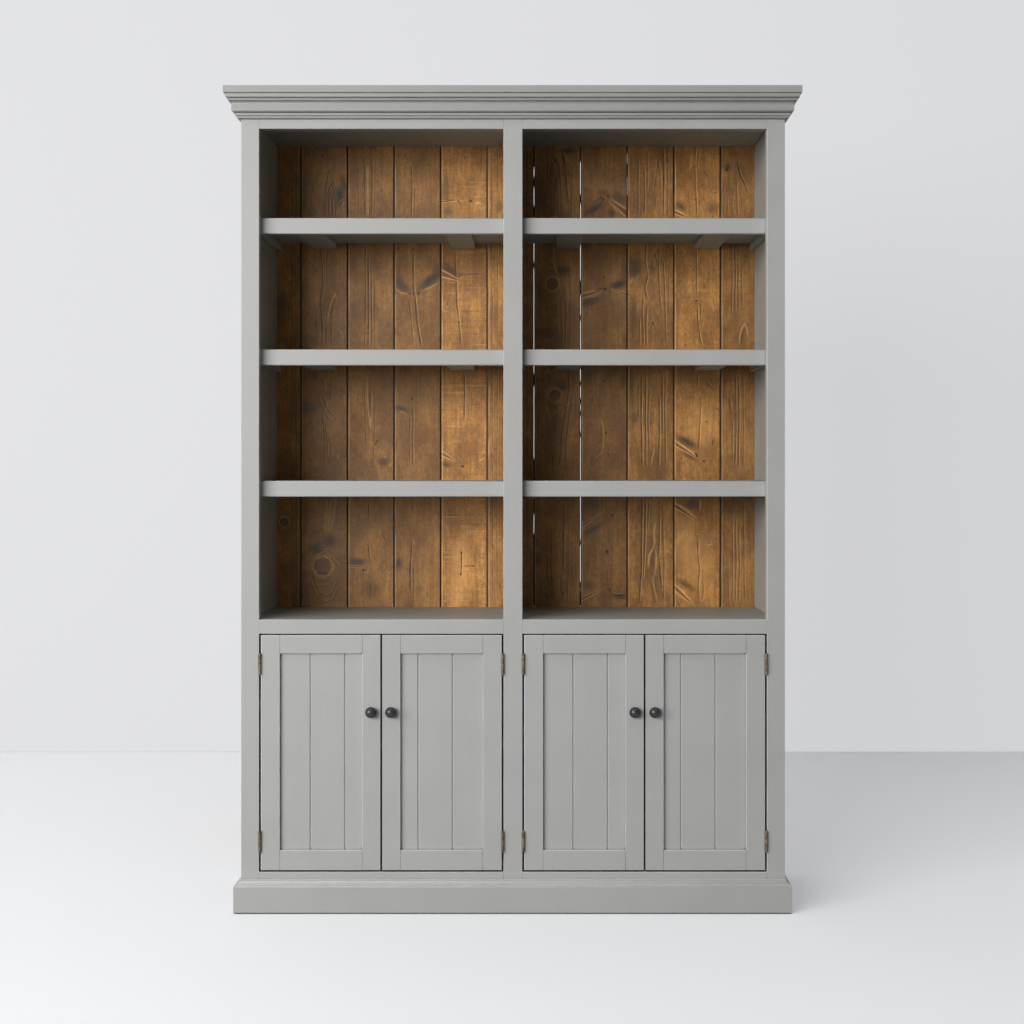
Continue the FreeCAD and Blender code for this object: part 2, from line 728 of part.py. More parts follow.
def hinge_pin(label, axis, bottom):
    """A straight pin with a chamfered button at each end of the knuckles."""
    body = new_body(label)
    pin_x, pin_y = axis
    radius = S["pin_diameter"] / 2
    button = S["pin_button_diameter"] / 2
    rise = S["pin_button_height"]
    chamfer = S["pin_button_chamfer"]
    top = S["hinge_height"]
    outline = [(0, -rise), (button - chamfer, -rise), (button, chamfer - rise), (button, 0),
               (radius, 0), (radius, top), (button, top), (button, top + rise - chamfer),
               (button - chamfer, top + rise), (0, top + rise)]
    revolve(body, "XZ_Plane", -pin_y, pin_x, bottom, outline)
    return body


def hinge_pieces():
    """Two butt hinges a door: a leaf on the frame, a leaf on the door and the pin they share."""
    frame_leaves, pins, door_leaves = [], [], []
    frame_knuckles = range(0, KNUCKLES, 2)
    door_knuckles = range(1, KNUCKLES, 2)
    for number, (hinge_edge, way) in enumerate(door_places(), start=1):
        axis = hinge_axis(hinge_edge, way)
        middles = (DOOR_BOTTOM + S["hinge_inset"], DOOR_TOP - S["hinge_inset"])
        leaves = []
        for middle in middles:
            bottom = middle - S["hinge_height"] / 2
            frame_leaves.append(hinge_leaf("frame_leaf", axis, -way, bottom, frame_knuckles))
            leaves.append(hinge_leaf("door_leaf", axis, way, bottom, door_knuckles))
            pins.append(hinge_pin("hinge_pin", axis, bottom))
        door_leaves.append(group(f"door_{number}_hinge_leaves", leaves))
    return door_leaves + [group("hinge_frame_leaves", frame_leaves), group("hinge_pins", pins)]


def magnetic_catch(name, side):
    """A double magnetic catch on the cupboard floor, behind the meeting edges of two doors."""
    middle = side * (CENTRE_HALF + STILE_IN) / 2
    start = DOOR_BACK + S["strike_thickness"] + S["catch_gap"]
    back = start + S["catch_depth"]
    top = S["floor_height"] + S["catch_height"]
    round_over = S["catch_round"]
    outline = [(start, S["floor_height"]), (back, S["floor_height"]),
               (back, top - round_over, round_over, True), (back - round_over, top), (start, top)]
    half = S["catch_width"] / 2
    return prism(f"catch_{name}", "YZ_Plane", middle - half, middle + half, outline)


def build_pieces():
    pieces = carcass_pieces() + face_frame_pieces()
    pieces += mitred_moulding("cornice", cornice_profile(), S["cornice_projection"])
    pieces += mitred_moulding("plinth", plinth_profile(), S["plinth_projection"])
    pieces += back_pieces() + shelf_pieces()
    for number, (hinge_edge, way) in enumerate(door_places(), start=1):
        pieces += door_pieces(number, hinge_edge, way)
    catches = [magnetic_catch(name, side) for name, side in BAYS.items()]
    return pieces + hinge_pieces() + [group("magnetic_catches", catches)]


def check_document():
    """Stop at the first object that failed to build."""
    for thing in doc.Objects:
        if {"Invalid", "Error"} & set(thing.State):
            raise RuntimeError(f"{thing.Label}: {thing.State}")
        if thing.isDerivedFrom("PartDesign::Feature") or thing.TypeId == "PartDesign::Body":
            if thing.Shape.isNull() or not thing.Shape.isValid():
                raise RuntimeError(f"{thing.Label}: no valid shape")


def write_steps(pieces):
    os.makedirs("parts", exist_ok=True)
    for piece in pieces:
        shape = piece.Shape
        if shape.isNull() or not shape.isValid() or not shape.Solids:
            raise RuntimeError(f"{piece.Label}: no valid solid")
        shape.exportStep(f"parts/{piece.Label}.step")
        print(f"{piece.Label}: {len(shape.Solids)} solids, {shape.Volume / 1000:.1f} cm3")


bookcase_pieces = build_pieces()
doc.recompute()
check_document()
write_steps(bookcase_pieces)
print(f"{len(bookcase_pieces)} nodes")
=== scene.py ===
import math
from collections import namedtuple

import bpy
import numpy as np
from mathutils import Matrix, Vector


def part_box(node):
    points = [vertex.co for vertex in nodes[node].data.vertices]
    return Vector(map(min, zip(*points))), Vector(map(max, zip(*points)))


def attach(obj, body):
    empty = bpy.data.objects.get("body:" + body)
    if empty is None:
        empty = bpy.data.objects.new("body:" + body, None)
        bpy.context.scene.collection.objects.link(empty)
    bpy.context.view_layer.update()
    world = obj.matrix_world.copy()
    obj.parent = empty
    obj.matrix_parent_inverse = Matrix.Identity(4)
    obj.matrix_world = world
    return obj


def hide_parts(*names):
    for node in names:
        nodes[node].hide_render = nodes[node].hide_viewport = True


# A tall painted bookcase with stained pine boards at the back of its open shelves. Metres, in the
# row frame: X to the right, Y to the back, Z up, with the front of the face frame at FRONT.
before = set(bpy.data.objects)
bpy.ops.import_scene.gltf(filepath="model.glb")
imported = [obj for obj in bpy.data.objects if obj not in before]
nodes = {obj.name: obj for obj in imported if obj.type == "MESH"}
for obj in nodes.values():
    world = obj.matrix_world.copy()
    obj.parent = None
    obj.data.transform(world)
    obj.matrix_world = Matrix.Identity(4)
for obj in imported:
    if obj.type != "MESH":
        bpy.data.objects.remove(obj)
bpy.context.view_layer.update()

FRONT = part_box("face_stile_left")[0].y
BOARDS_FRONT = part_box("back_boards_left")[0].y
BOARDS_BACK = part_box("back_boards_left")[1].y
BOARDS_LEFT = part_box("back_boards_left")[0].x
BOARDS_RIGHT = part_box("back_boards_right")[1].x
BOARDS_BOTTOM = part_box("back_boards_left")[0].z
BOARDS_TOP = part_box("back_boards_left")[1].z
DOORS = ("door_1", "door_2", "door_3", "door_4")

# Camera: level and square to the front, with its frame shifted a little off its axis.
EYE = Vector((0.0817, FRONT - 3.694, 1.1279))
LENS = 50.9
SHIFT = (-0.0322, -0.0410)
WALL_Y = 1.94

# Linear colours.
PAINT = (0.43, 0.432, 0.424)
# A darker, browner copy of the paint for the insides: painted shade.
PAINT_INSIDE_SHADED = (0.345, 0.36, 0.335)
# A darker copy of the paint for the cornice: painted shade.
PAINT_MOULDING_SHADED = (0.362, 0.362, 0.352)
# The eased edges' paler paint: a painted highlight.
PAINT_ARRIS_HIGHLIGHT = (0.72, 0.725, 0.71)
# Near black: painted shade in narrow gaps, corners and under the plinth, and the dark of the
# joints' vees.
HOLLOW_SHADE_AND_DIRT = (0.012, 0.011, 0.010)
PINE_PIT = (0.020, 0.010, 0.005)
PINE_DARK = (0.100, 0.040, 0.0085)
PINE_LOW = (0.366, 0.150, 0.027)
PINE_HIGH = (0.693, 0.327, 0.078)
PINE_GREY = (0.328, 0.164, 0.051)
PINE_PALE = (0.95, 0.56, 0.2)
PINE_SMUDGE = (0.066, 0.040, 0.019)
PINE_SPIKE = (0.24, 0.078, 0.020)
PINE_GLOW = (0.80, 0.42, 0.14)
PINE_LINE = (0.060, 0.026, 0.008)
RAW_PINE = (0.50, 0.33, 0.17)
IRON = (0.021, 0.023, 0.025)
BRASS_PALE = (0.31, 0.24, 0.155)
BRASS_DARK = (0.085, 0.055, 0.03)
ZINC = (0.55, 0.56, 0.57)
PLASTIC = (0.22, 0.14, 0.075)
WALL = (0.80, 0.807, 0.822)
FLOOR = (0.955, 0.962, 0.977)
SKY = (0.9, 0.95, 1.0)
KEY_LIGHT = (1.0, 0.985, 0.965)
TOP_LIGHT = (0.97, 0.985, 1.0)

# The shares of the stage's tone that are its own light where it is seen, the share of the floor's
# that throws light back on the object, and the world's strength as a light and where it is seen.
WALL_GLOW = 0.72
FLOOR_GLOW = 0.2
FLOOR_THROWN = 0.05
WORLD_LIGHT = 0.07
WORLD_SHOWN = 0.45
KEY_POWER = 443.0
TOP_POWER = 1.35

MM = 0.001
HOLLOW_REACH = 8 * MM
FRONT_ARRIS = 1.5 * MM
JOINT_ARRIS = 0.9 * MM
SMALL_ARRIS = 0.5 * MM
JOINT_DIRT_DEPTH = 0.2 * MM
HINGE_STILE = 48.5 * MM
MEETING_STILE = 46.5 * MM
BOTTOM_RAIL = 51 * MM
TOP_RAIL = 47 * MM
BOARD_ARRIS = 1.8 * MM
BOARD_DEPTH = BOARDS_BACK - BOARDS_FRONT
BOARD_PITCH = 130 * MM
END_BOARD = 107 * MM
HIDDEN_ROWS, SEEN_ROWS = 24, 300
FRONT_STEPS = 35
# The width of each joint between boards, and where its boards touch: (height, half its length).
# SHUT is the share of the width that is left there.
JOINTS = (
    (0.5, ()), (0.5, ()), (0.4, ()), (0.5, ()), (0.5, ()),
    (1.5, ((2010, 33), (1932, 10), (1842, 20), (1700, 4), (1380, 13), (1110, 46), (1028, 20),
           (848, 98))),
    (2.1, ((2015, 22), (1885, 8), (1637, 16), (1553, 2), (1370, 2), (1320, 3), (1286, 3), (1227, 2),
           (925, 2), (806, 5), (770, 18))),
    (1.2, ((2032, 12), (1965, 12), (1590, 298), (1000, 300))),
    (0.8, ((1440, 450), (850, 150))),
    (0.6, ()))
# Each board's brightness factor: partly its own stain, partly painted light and shade.
BOARD_TONES_AND_LIGHT = (1.10, 0.76, 0.84, 0.82, 1.18, 0.99, 0.92, 0.74, 0.94, 1.08, 0.75)
SHUT = 0.03
JOINT_TAPER = 10 * MM
STROKE_LAYERS = 5
# How plainly the marks of the saw show across a board.
SAWN = {4: 1.0, 5: 0.3, 9: 0.3}

# What each board shows, in millimetres across and up in the row frame.
Knot = namedtuple("Knot", "x z radius stretch red")
KNOTS = [Knot(*facts) for facts in (
    (-645, 983, 11, 1.0, 0.0), (-538, 860, 21, 1.1, 0.85), (103, 1647, 15, 1.05, 0.15),
    (110, 1337, 14.5, 1.0, 0.35), (-158, 1658, 3.5, 1.0, 0.0),
)]
Spike = namedtuple("Spike", "x z tip_x tip_z half_width red")
SPIKES = [Spike(*facts) for facts in (
    (-207, 1676, -158, 1657, 9, 1.0), (-207, 1175, -166, 1152, 6, 1.0),
    (-469, 859, -418, 858, 3, 0.6), (309, 1845, 262, 1881, 9, 0.8), (444, 1847, 476, 1834, 6, 0.9),
    (183, 1612, 252, 1632, 5.5, 0.9), (304, 1619, 266, 1630, 3.5, 0.5),
    (445, 1202, 505, 1163, 6, 0.7), (443, 800, 497, 752, 7, 0.9), (445, 1028, 503, 990, 6, 0.5),
    (185, 768, 250, 800, 4, 0.3), (185, 973, 250, 1013, 4, 0.3), (-470, 1163, -420, 1146, 5, 0.6),
    (-206, 1877, -166, 1874, 3, 0.2),
)]
# Stain that took darker, or with a strength below zero paler; the two at the top of a compartment,
# at z 1388 and 1377, are painted shadow. The turn of its length is in degrees.
Smudge = namedtuple("Smudge", "x z length thickness strength turn", defaults=(0,))
SMUDGES = [Smudge(*facts) for facts in (
    (-651, 1591, 20, 28, 0.7), (-490, 1892, 13, 26, 1.0), (-479, 1927, 8, 24, 0.8, 15),
    (-515, 1890, 16, 30, 0.35), (-525, 1590, 14, 24, 0.3), (-575, 1300, 22, 16, 0.8),
    (-557, 1100, 20, 30, 0.3), (-557, 908, 18, 14, 0.9), (-518, 930, 22, 16, 0.8),
    (-451, 1560, 16, 30, 0.4), (-445, 872, 28, 8, 1.0), (-370, 1150, 14, 12, 0.7),
    (-406, 793, 24, 20, 0.4), (-398, 1713, 26, 34, 0.3), (-318, 1643, 27, 9, 1.0, -38),
    (-331, 1655, 13, 14, 0.8), (-240, 1655, 34, 12, 1.0, 40), (-222, 1680, 10, 22, 0.6),
    (-318, 1298, 22, 7, 0.9, -16), (-267, 1992, 30, 24, 0.3), (-330, 868, 15, 16, 0.9),
    (-195, 1910, 10, 32, 0.55), (-190, 1850, 12, 10, 0.6), (-183, 1686, 30, 9, 1.0, -40),
    (-198, 1144, 18, 6, 0.9, -20), (-172, 989, 24, 40, 0.3), (-158, 850, 24, 90, -0.5),
    (-60, 1560, 12, 26, 0.55), (-47, 1861, 12, 14, 0.6), (-47, 888, 10, 20, 0.4),
    (-30, 1267, 8, 40, 0.25), (145, 2018, 22, 8, 0.9), (70, 1890, 12, 40, 0.5),
    (132, 1685, 20, 13, 1.0), (80, 1512, 24, 12, 0.6), (68, 1625, 12, 40, 0.5),
    (118, 1490, 16, 26, 0.5), (132, 1362, 17, 13, 0.9), (98, 1308, 14, 16, 0.6),
    (60, 1300, 8, 120, 0.4), (62, 880, 8, 16, 0.8), (60, 927, 8, 8, 0.6), (154, 849, 14, 14, 0.4),
    (218, 1855, 30, 7, 1.0, 28), (268, 1844, 9, 9, 0.9), (291, 1886, 20, 12, 0.8, -35),
    (243, 1902, 12, 8, 0.5), (207, 1597, 28, 9, 1.0, 18), (287, 1645, 24, 10, 1.0, 18),
    (300, 1690, 10, 36, 0.4), (300, 1380, 10, 24, 0.5), (200, 1390, 18, 14, 0.35),
    (214, 962, 28, 8, 0.9, 30), (207, 1036, 24, 12, 0.6), (288, 778, 20, 8, 1.0, -8),
    (205, 806, 16, 12, 0.5), (332, 1692, 24, 26, 0.9), (381, 1690, 10, 18, 0.6),
    (328, 1545, 9, 50, 0.7), (322, 1350, 8, 60, 0.6), (331, 1272, 10, 13, 0.6),
    (402, 1128, 14, 50, 0.3), (410, 1280, 10, 60, 0.3), (383, 905, 10, 46, 0.6),
    (388, 800, 10, 36, 0.6), (405, 1000, 14, 30, 0.3), (388, 1908, 16, 40, 0.4),
    (459, 1864, 15, 8, 0.9, -40), (550, 1858, 20, 16, 0.6), (525, 1640, 6, 6, 0.5),
    # The smudges at (470, 1388) and (548, 1377) are painted shadow at the top of a compartment.
    (478, 1206, 32, 9, 1.0, -27), (484, 1166, 24, 5, 0.8, -30), (470, 1388, 24, 16, 0.5),
    (548, 1377, 26, 13, 0.45), (494, 1032, 18, 14, 1.0, -20), (472, 810, 24, 8, 0.8, -35),
    (505, 850, 40, 80, -0.35), (470, 920, 24, 60, -0.4), (520, 1240, 30, 60, -0.35),
    (591, 1972, 10, 9, 0.8), (636, 1942, 8, 26, 0.5, 20), (600, 1024, 36, 18, 0.35),
    (625, 1490, 18, 26, 0.25), (96, 1230, 20, 30, 0.3),
)]
# Small dark pits: half their width and height, and how far the top leans to the right.
Mark = namedtuple("Mark", "x z across up lean", defaults=(0,))
MARKS = [Mark(*facts) for facts in (
    (-539, 2004, 1.6, 5), (-562, 1715, 1.6, 1.6), (-545, 1590, 2.0, 3), (-611, 1287, 1.6, 2),
    (-611, 1225, 1.6, 2), (-560, 910, 2, 2), (-562, 953, 1.8, 1.8), (-535, 1027, 1.6, 2),
    (-375, 1908, 2, 2), (-375, 1705, 1.8, 2), (-401, 1575, 1.6, 2), (-401, 1515, 1.6, 2),
    (-383, 1575, 1.6, 2), (-371, 1625, 1.6, 2), (-390, 1200, 2, 2), (-385, 1210, 1.8, 1.8),
    (-424, 848, 3, 3), (-271, 1620, 3, 3), (-294, 1620, 2.2, 2.2), (-289, 1327, 3, 3),
    (-328, 1745, 2, 4), (-285, 1745, 2, 4), (-125, 1878, 5, 2.4), (-148, 1138, 4, 3),
    (-183, 1493, 1.8, 1.8), (-190, 1590, 1.8, 1.8), (-151, 897, 2.4, 4), (-153, 838, 2.4, 4),
    (-117, 860, 2.4, 2.4), (-158, 1540, 2, 2), (-142, 1998, 1.4, 4, 1), (88, 1580, 3, 3),
    (90, 1382, 3, 3), (258, 1892, 2.4, 4.5, -1), (247, 1375, 3, 2.4), (245, 1308, 1.6, 2.4),
    (252, 1233, 2.4, 3), (258, 1172, 2.4, 3), (270, 1002, 3.4, 3, -1), (255, 900, 3.4, 5, -2),
    (262, 793, 2.4, 4.5, -2), (249, 1632, 5, 3.6), (265, 1702, 1.6, 1.6), (247, 1665, 2, 2.4),
    (245, 1518, 1.6, 2.4), (258, 1510, 1.8, 1.8), (413, 1940, 2.4, 6), (520, 1922, 2, 1.6),
    (557, 1902, 3, 1.6), (588, 1965, 3.6, 3.6), (623, 1970, 2.2, 3), (505, 1600, 3.6, 2.6),
    (504, 1170, 2.6, 8, -3), (533, 1262, 2, 2), (525, 1153, 3, 2.4), (550, 1205, 1.2, 10),
    (625, 1655, 2, 2), (488, 1697, 2.4, 1.6), (433, 980, 1.6, 1.6), (131, 782, 1.6, 10),
    (-601, 1100, 1.4, 1.4), (625, 1100, 1.4, 1.4), (472, 1476, 1.6, 1.6), (-44, 802, 1.2, 12),
    (-239, 989, 1.6, 2.4), (82, 1184, 1.6, 2), (380, 1323, 1.4, 3), (-420, 1448, 1.4, 3),
)]
# Lines drawn down the boards. First come three facts in tenths: half a width, how dark (below zero)
# or pale the line is, and how pale the strip beside it is (on the right of a downward line, below
# zero on the left). Then come x and z of each of its points.
Stroke = namedtuple("Stroke", "half_width core beside points")
STROKES = [Stroke(*(tenths / 10 for tenths in facts[:3]), tuple(zip(facts[3::2], facts[4::2])))
           for facts in (
    (12, -5, 3, -624, 2035, -622, 1700, -625, 1300, -623, 755),
    (12, -5, 4, -612, 2035, -613, 1600, -611, 755),
    (13, -8, 5, -534, 1885, -530, 1925, -522, 1963, -512, 1945, -500, 1905),
    (13, -8, 5, -527, 1885, -521, 1915, -514, 1927, -506, 1905, -503, 1885),
    (12, -7, 5, -530, 1890, -532, 1830), (12, -8, 6, -519, 1900, -521, 1830),
    (12, -8, 6, -510, 1895, -511, 1830), (12, -7, 5, -500, 1880, -502, 1830),
    (13, 8, 0, -495, 1875, -478, 1885), (13, 7, 0, -485, 1860, -477, 1880),
    (14, -5, 0, -570, 1925, -558, 1880), (12, -5, 3, -560, 2035, -556, 1960),
    (13, -8, 6, -545, 1768, -540, 1700, -537, 1650, -545, 1592, -538, 1530, -541, 1468),
    (12, -6, -5, -525, 1768, -528, 1700, -526, 1640),
    (15, 9, 0, -525, 1540, -516, 1590, -505, 1618, -499, 1608, -497, 1585),
    (12, -6, 0, -519, 1535, -511, 1580, -505, 1602, -501, 1590), (16, 7, 0, -495, 1530, -485, 1505),
    (12, -6, 5, -556, 1560, -553, 1468), (12, -6, 5, -528, 1530, -530, 1468),
    (12, -6, 6, -512, 1560, -514, 1468), (14, -7, 8, -545, 1350, -525, 1300, -505, 1275),
    (14, -6, 7, -552, 1330, -530, 1283, -508, 1258),
    (12, -8, 7, -540, 1290, -533, 1220, -530, 1133),
    (12, -8, 7, -532, 1265, -525, 1200, -521, 1133),
    (12, -7, 7, -522, 1240, -516, 1190, -513, 1133), (20, 6, 0, -530, 1392, -531, 1340),
    (12, -5, 4, -515, 1400, -516, 1300), (18, 6, 0, -497, 1180, -493, 1150),
    (18, 6, 0, -557, 1160, -553, 1133),
    (16, -8, 8, -572, 868, -560, 882, -533, 897, -515, 882, -500, 868, -490, 850),
    (14, -6, 6, -576, 885, -558, 905, -533, 915, -510, 898, -492, 875),
    (13, 7, -4, -525, 1050, -531, 950), (13, 7, -4, -514, 1050, -523, 950),
    (13, 7, -4, -500, 1052, -514, 955),
    (15, -7, 7, -568, 850, -560, 810, -545, 785, -528, 775, -511, 785, -498, 820),
    (14, -7, 6, -574, 830, -563, 785, -545, 765, -528, 758, -508, 768, -490, 810),
    (13, 8, -7, -410, 1980, -412, 1930, -411, 1830),
    (13, -7, 5, -420, 1990, -421, 1900, -420, 1830),
    (13, -7, 5, -401, 2000, -400, 1920, -402, 1830),
    (11, -5, 4, -392, 2010, -391, 1920, -394, 1830), (12, -5, 0, -388, 1942, -382, 1928),
    (11, -4, 3, -440, 2030, -438, 1830), (13, -7, 5, -420, 1768, -418, 1620, -421, 1468),
    (15, -9, 8, -411, 1730, -410, 1600, -411, 1468),
    (13, -8, 7, -402, 1700, -402, 1600, -401, 1468), (11, -5, 4, -392, 1650, -393, 1468),
    (14, 8, 0, -413, 1395, -412, 1300, -405, 1247, -401, 1290, -400, 1330),
    (13, -8, 0, -406, 1360, -406, 1300, -405, 1258),
    (12, -5, 5, -421, 1400, -419, 1250, -416, 1180),
    (12, -5, 4, -391, 1400, -393, 1250, -398, 1133), (15, 6, 0, -372, 1170, -358, 1160),
    (14, 7, 0, -358, 1135, -350, 1143, -344, 1136), (15, -8, 6, -411, 1052, -409, 1020, -408, 985),
    (16, -7, 9, -412, 925, -409, 895, -405, 870), (13, 8, 0, -424, 843, -416, 841, -410, 848),
    (13, -6, 3, -368, 950, -366, 938, -360, 930), (14, 7, 0, -365, 848, -355, 841, -345, 844),
    (12, -5, 4, -402, 840, -404, 755), (14, -8, 9, -290, 1985, -289, 1930, -290, 1830),
    (16, 7, 0, -295, 1992, -294, 1972), (12, -5, 5, -281, 1925, -282, 1830),
    (11, -4, 4, -322, 1985, -310, 2012, -298, 1990), (18, 9, 0, -337, 1634, -320, 1622, -297, 1618),
    (18, 9, 0, -265, 1626, -235, 1639, -213, 1650),
    (17, -9, 9, -285, 1742, -286, 1690, -285, 1640, -280, 1600, -275, 1550, -270, 1510, -263, 1468),
    (13, -5, 5, -296, 1600, -290, 1540, -285, 1468),
    (15, 8, 0, -340, 1355, -318, 1344, -300, 1335, -291, 1328), (13, 7, 0, -327, 1292, -305, 1287),
    (12, -5, 7, -294, 1275, -295, 1133), (13, -7, 8, -286, 1320, -287, 1250, -286, 1133),
    (12, -4, 5, -276, 1400, -274, 1300), (15, -9, 4, -288, 1048, -287, 1025, -286, 1008),
    (17, -10, 6, -289, 925, -294, 870, -294, 800, -292, 788), (16, 7, 0, -285, 945, -282, 915),
    (12, -5, 6, -283, 880, -284, 755), (15, -8, 9, -166, 1882, -185, 1879, -207, 1879),
    (17, -9, 3, -165, 1885, -152, 1868), (14, 8, 0, -117, 1872, -88, 1872),
    (14, 9, 0, -158, 1658, -152, 1664, -146, 1668),
    (16, -7, 5, -170, 1748, -167, 1690, -165, 1640, -163, 1590, -158, 1540, -152, 1468),
    (12, -7, 5, -85, 1673, -147, 1672), (11, -5, 4, -90, 1640, -148, 1640),
    (12, -4, 4, -90, 1740, -150, 1741), (11, -4, 4, -90, 1505, -140, 1506),
    (15, -9, 6, -143, 1405, -142, 1340, -144, 1262), (14, 8, 0, -105, 1152, -85, 1162),
    (12, -7, 4, -160, 1200, -178, 1200), (12, -6, 4, -158, 1290, -176, 1291),
    (12, -6, 4, -100, 1310, -130, 1310), (12, -6, 4, -160, 1370, -185, 1371),
    (16, -9, 6, -150, 905, -152, 832), (13, -8, 4, -114, 860, -150, 860),
    (12, -5, 5, -130, 1001, -205, 1001), (11, -5, 5, -178, 902, -205, 902),
    (11, -5, 5, -178, 889, -205, 889), (11, -5, 5, -178, 876, -205, 876),
    (11, -4, 3, -66, 2035, -64, 755), (11, -4, 3, -50, 2035, -52, 755),
    (11, -5, 0, 32, 2035, 33, 755),
    (14, -7, 4, 92, 1930, 98, 1972, 112, 1997, 121, 1975, 125, 1930, 129, 1830),
    (22, -9, 3, 130, 2022, 133, 1995, 138, 1960, 142, 1915, 146, 1870),
    (13, -6, 4, 108, 1830, 106, 1900, 113, 1950, 118, 1900, 119, 1830),
    (14, -6, 3, 86, 1900, 88, 1980, 84, 2030), (13, -6, 5, 158, 1990, 155, 1830),
    (16, 7, -2, 106, 1765, 108, 1700, 113, 1682, 121, 1664),
    (14, -8, 6, 110, 1612, 116, 1560, 118, 1500), (14, -8, 7, 124, 1612, 129, 1560, 130, 1468),
    (13, -7, 6, 135, 1650, 141, 1600, 140, 1540, 137, 1468),
    (12, -5, 5, 148, 1768, 154, 1640, 152, 1468), (12, -5, 4, 84, 1610, 94, 1550, 98, 1468),
    (15, 7, -4, 84, 1315, 94, 1285, 101, 1262),
    (16, -9, 5, 147, 1405, 148, 1345, 139, 1290, 128, 1225, 122, 1133),
    (15, -8, 4, 117, 1298, 112, 1250, 107, 1190, 104, 1133),
    (14, -7, 5, 158, 1330, 148, 1270, 140, 1200, 139, 1133), (13, 6, 0, 152, 1320, 140, 1303),
    (15, -8, 0, 104, 1312, 112, 1298, 118, 1312), (14, -7, 5, 88, 960, 89, 880, 88, 810),
    (14, -7, 5, 99, 975, 98, 880, 101, 800), (17, -9, 7, 134, 1052, 133, 960, 134, 850),
    (12, -5, 5, 146, 1050, 148, 900, 145, 755), (13, -6, 5, 126, 850, 127, 755),
    (14, -5, 3, 108, 1052, 117, 1038, 126, 1052),
    (20, -9, 4, 213, 1862, 221, 1877, 237, 1888, 247, 1885, 241, 1873, 227, 1862),
    (16, 9, 0, 264, 1884, 285, 1871, 297, 1861, 308, 1853), (14, 8, 0, 267, 1870, 284, 1845),
    (12, -4, 4, 243, 1940, 250, 1985, 262, 1960), (12, -4, 4, 284, 2020, 275, 1985, 272, 1930),
    (17, -10, 0, 219, 1627, 234, 1633, 248, 1634), (17, 8, 0, 183, 1620, 205, 1626, 222, 1631),
    (15, 8, 0, 258, 1637, 270, 1631, 288, 1622, 306, 1619),
    (14, 7, 0, 185, 1605, 215, 1612, 238, 1623),
    (14, 8, 0, 219, 1158, 231, 1167, 240, 1176, 244, 1200, 244, 1250, 236, 1282),
    (12, -4, 4, 226, 1395, 216, 1350, 214, 1300), (12, 4, 0, 270, 1400, 278, 1330),
    (17, 9, 0, 184, 975, 205, 983, 228, 1001, 250, 1014), (16, 7, 0, 184, 763, 210, 778, 250, 800),
    (12, -4, 3, 224, 960, 223, 880), (12, -5, 4, 251, 1052, 252, 1010),
    (12, -4, 4, 249, 890, 256, 850, 258, 800), (13, 6, 0, 265, 790, 285, 783, 305, 786),
    (12, -6, 5, 343, 2000, 341, 1920, 343, 1830), (13, -7, 7, 357, 1990, 360, 1900, 359, 1830),
    (13, -6, 6, 367, 2035, 368, 1950, 366, 1900), (17, -8, 6, 412, 2035, 413, 1950, 412, 1830),
    (12, -6, 6, 385, 1900, 390, 1945, 397, 1990, 403, 1945, 405, 1900),
    (13, -5, 5, 424, 2035, 424, 1830), (14, -6, 4, 388, 1900, 390, 1870, 386, 1850),
    (16, 7, -3, 317, 1648, 329, 1666), (16, 7, -3, 329, 1652, 345, 1676),
    (15, -8, 9, 366, 1768, 361, 1712, 369, 1670, 361, 1638, 367, 1600),
    (14, -8, 9, 356, 1620, 354, 1560, 356, 1468), (14, -8, 9, 366, 1590, 364, 1530, 364, 1468),
    (13, -7, 7, 345, 1560, 346, 1468), (14, -8, 5, 375, 1520, 381, 1541, 387, 1534, 390, 1518),
    (13, -7, 7, 401, 1768, 398, 1690, 403, 1600, 410, 1545),
    (13, -6, 6, 412, 1720, 416, 1600, 421, 1468), (12, -5, 5, 391, 1500, 394, 1468),
    (13, -6, 5, 378, 1700, 388, 1732, 397, 1700), (12, -5, 5, 426, 1700, 428, 1540),
    (14, -9, 9, 352, 1405, 351, 1280, 353, 1133), (14, -9, 9, 363, 1405, 362, 1260, 364, 1133),
    (13, -6, 6, 373, 1400, 370, 1260, 373, 1180), (15, -8, 9, 400, 1340, 401, 1230, 399, 1133),
    (14, -8, 8, 409, 1405, 408, 1300, 409, 1220), (13, -6, 6, 418, 1405, 416, 1300, 419, 1133),
    (12, -5, 5, 342, 1405, 343, 1260), (16, 7, 0, 388, 1195, 382, 1165, 376, 1133),
    (15, -9, 9, 353, 1052, 352, 950, 351, 870, 346, 755),
    (15, -9, 9, 362, 1052, 361, 960, 358, 880, 354, 820),
    (13, -6, 8, 369, 1052, 371, 1020, 367, 950),
    (17, 8, -4, 392, 992, 386, 955, 388, 925, 383, 908, 373, 888, 370, 850),
    (14, 7, -4, 388, 915, 393, 890, 390, 850, 384, 820, 392, 780, 395, 755),
    (15, -7, 8, 400, 1052, 401, 950, 398, 880), (17, -8, 6, 401, 880, 404, 830, 408, 790),
    (13, -6, 6, 410, 1050, 411, 960, 414, 860, 412, 755), (13, -5, 5, 376, 1050, 378, 990),
    (15, -7, 9, 503, 2035, 500, 1980, 502, 1920, 505, 1830),
    (13, 7, -4, 494, 2020, 490, 1985, 484, 1955), (12, -5, 6, 510, 2030, 508, 1960),
    (13, -5, 4, 515, 1975, 532, 1955, 545, 1930), (13, -5, 5, 512, 1900, 511, 1830),
    (16, 9, 0, 443, 1852, 458, 1847, 478, 1836), (14, -7, 9, 503, 1768, 504, 1690, 505, 1606),
    (14, -8, 8, 508, 1592, 508, 1545, 514, 1500, 521, 1468), (12, -6, 6, 516, 1600, 516, 1555),
    (12, -6, 5, 497, 1598, 503, 1602, 512, 1590),
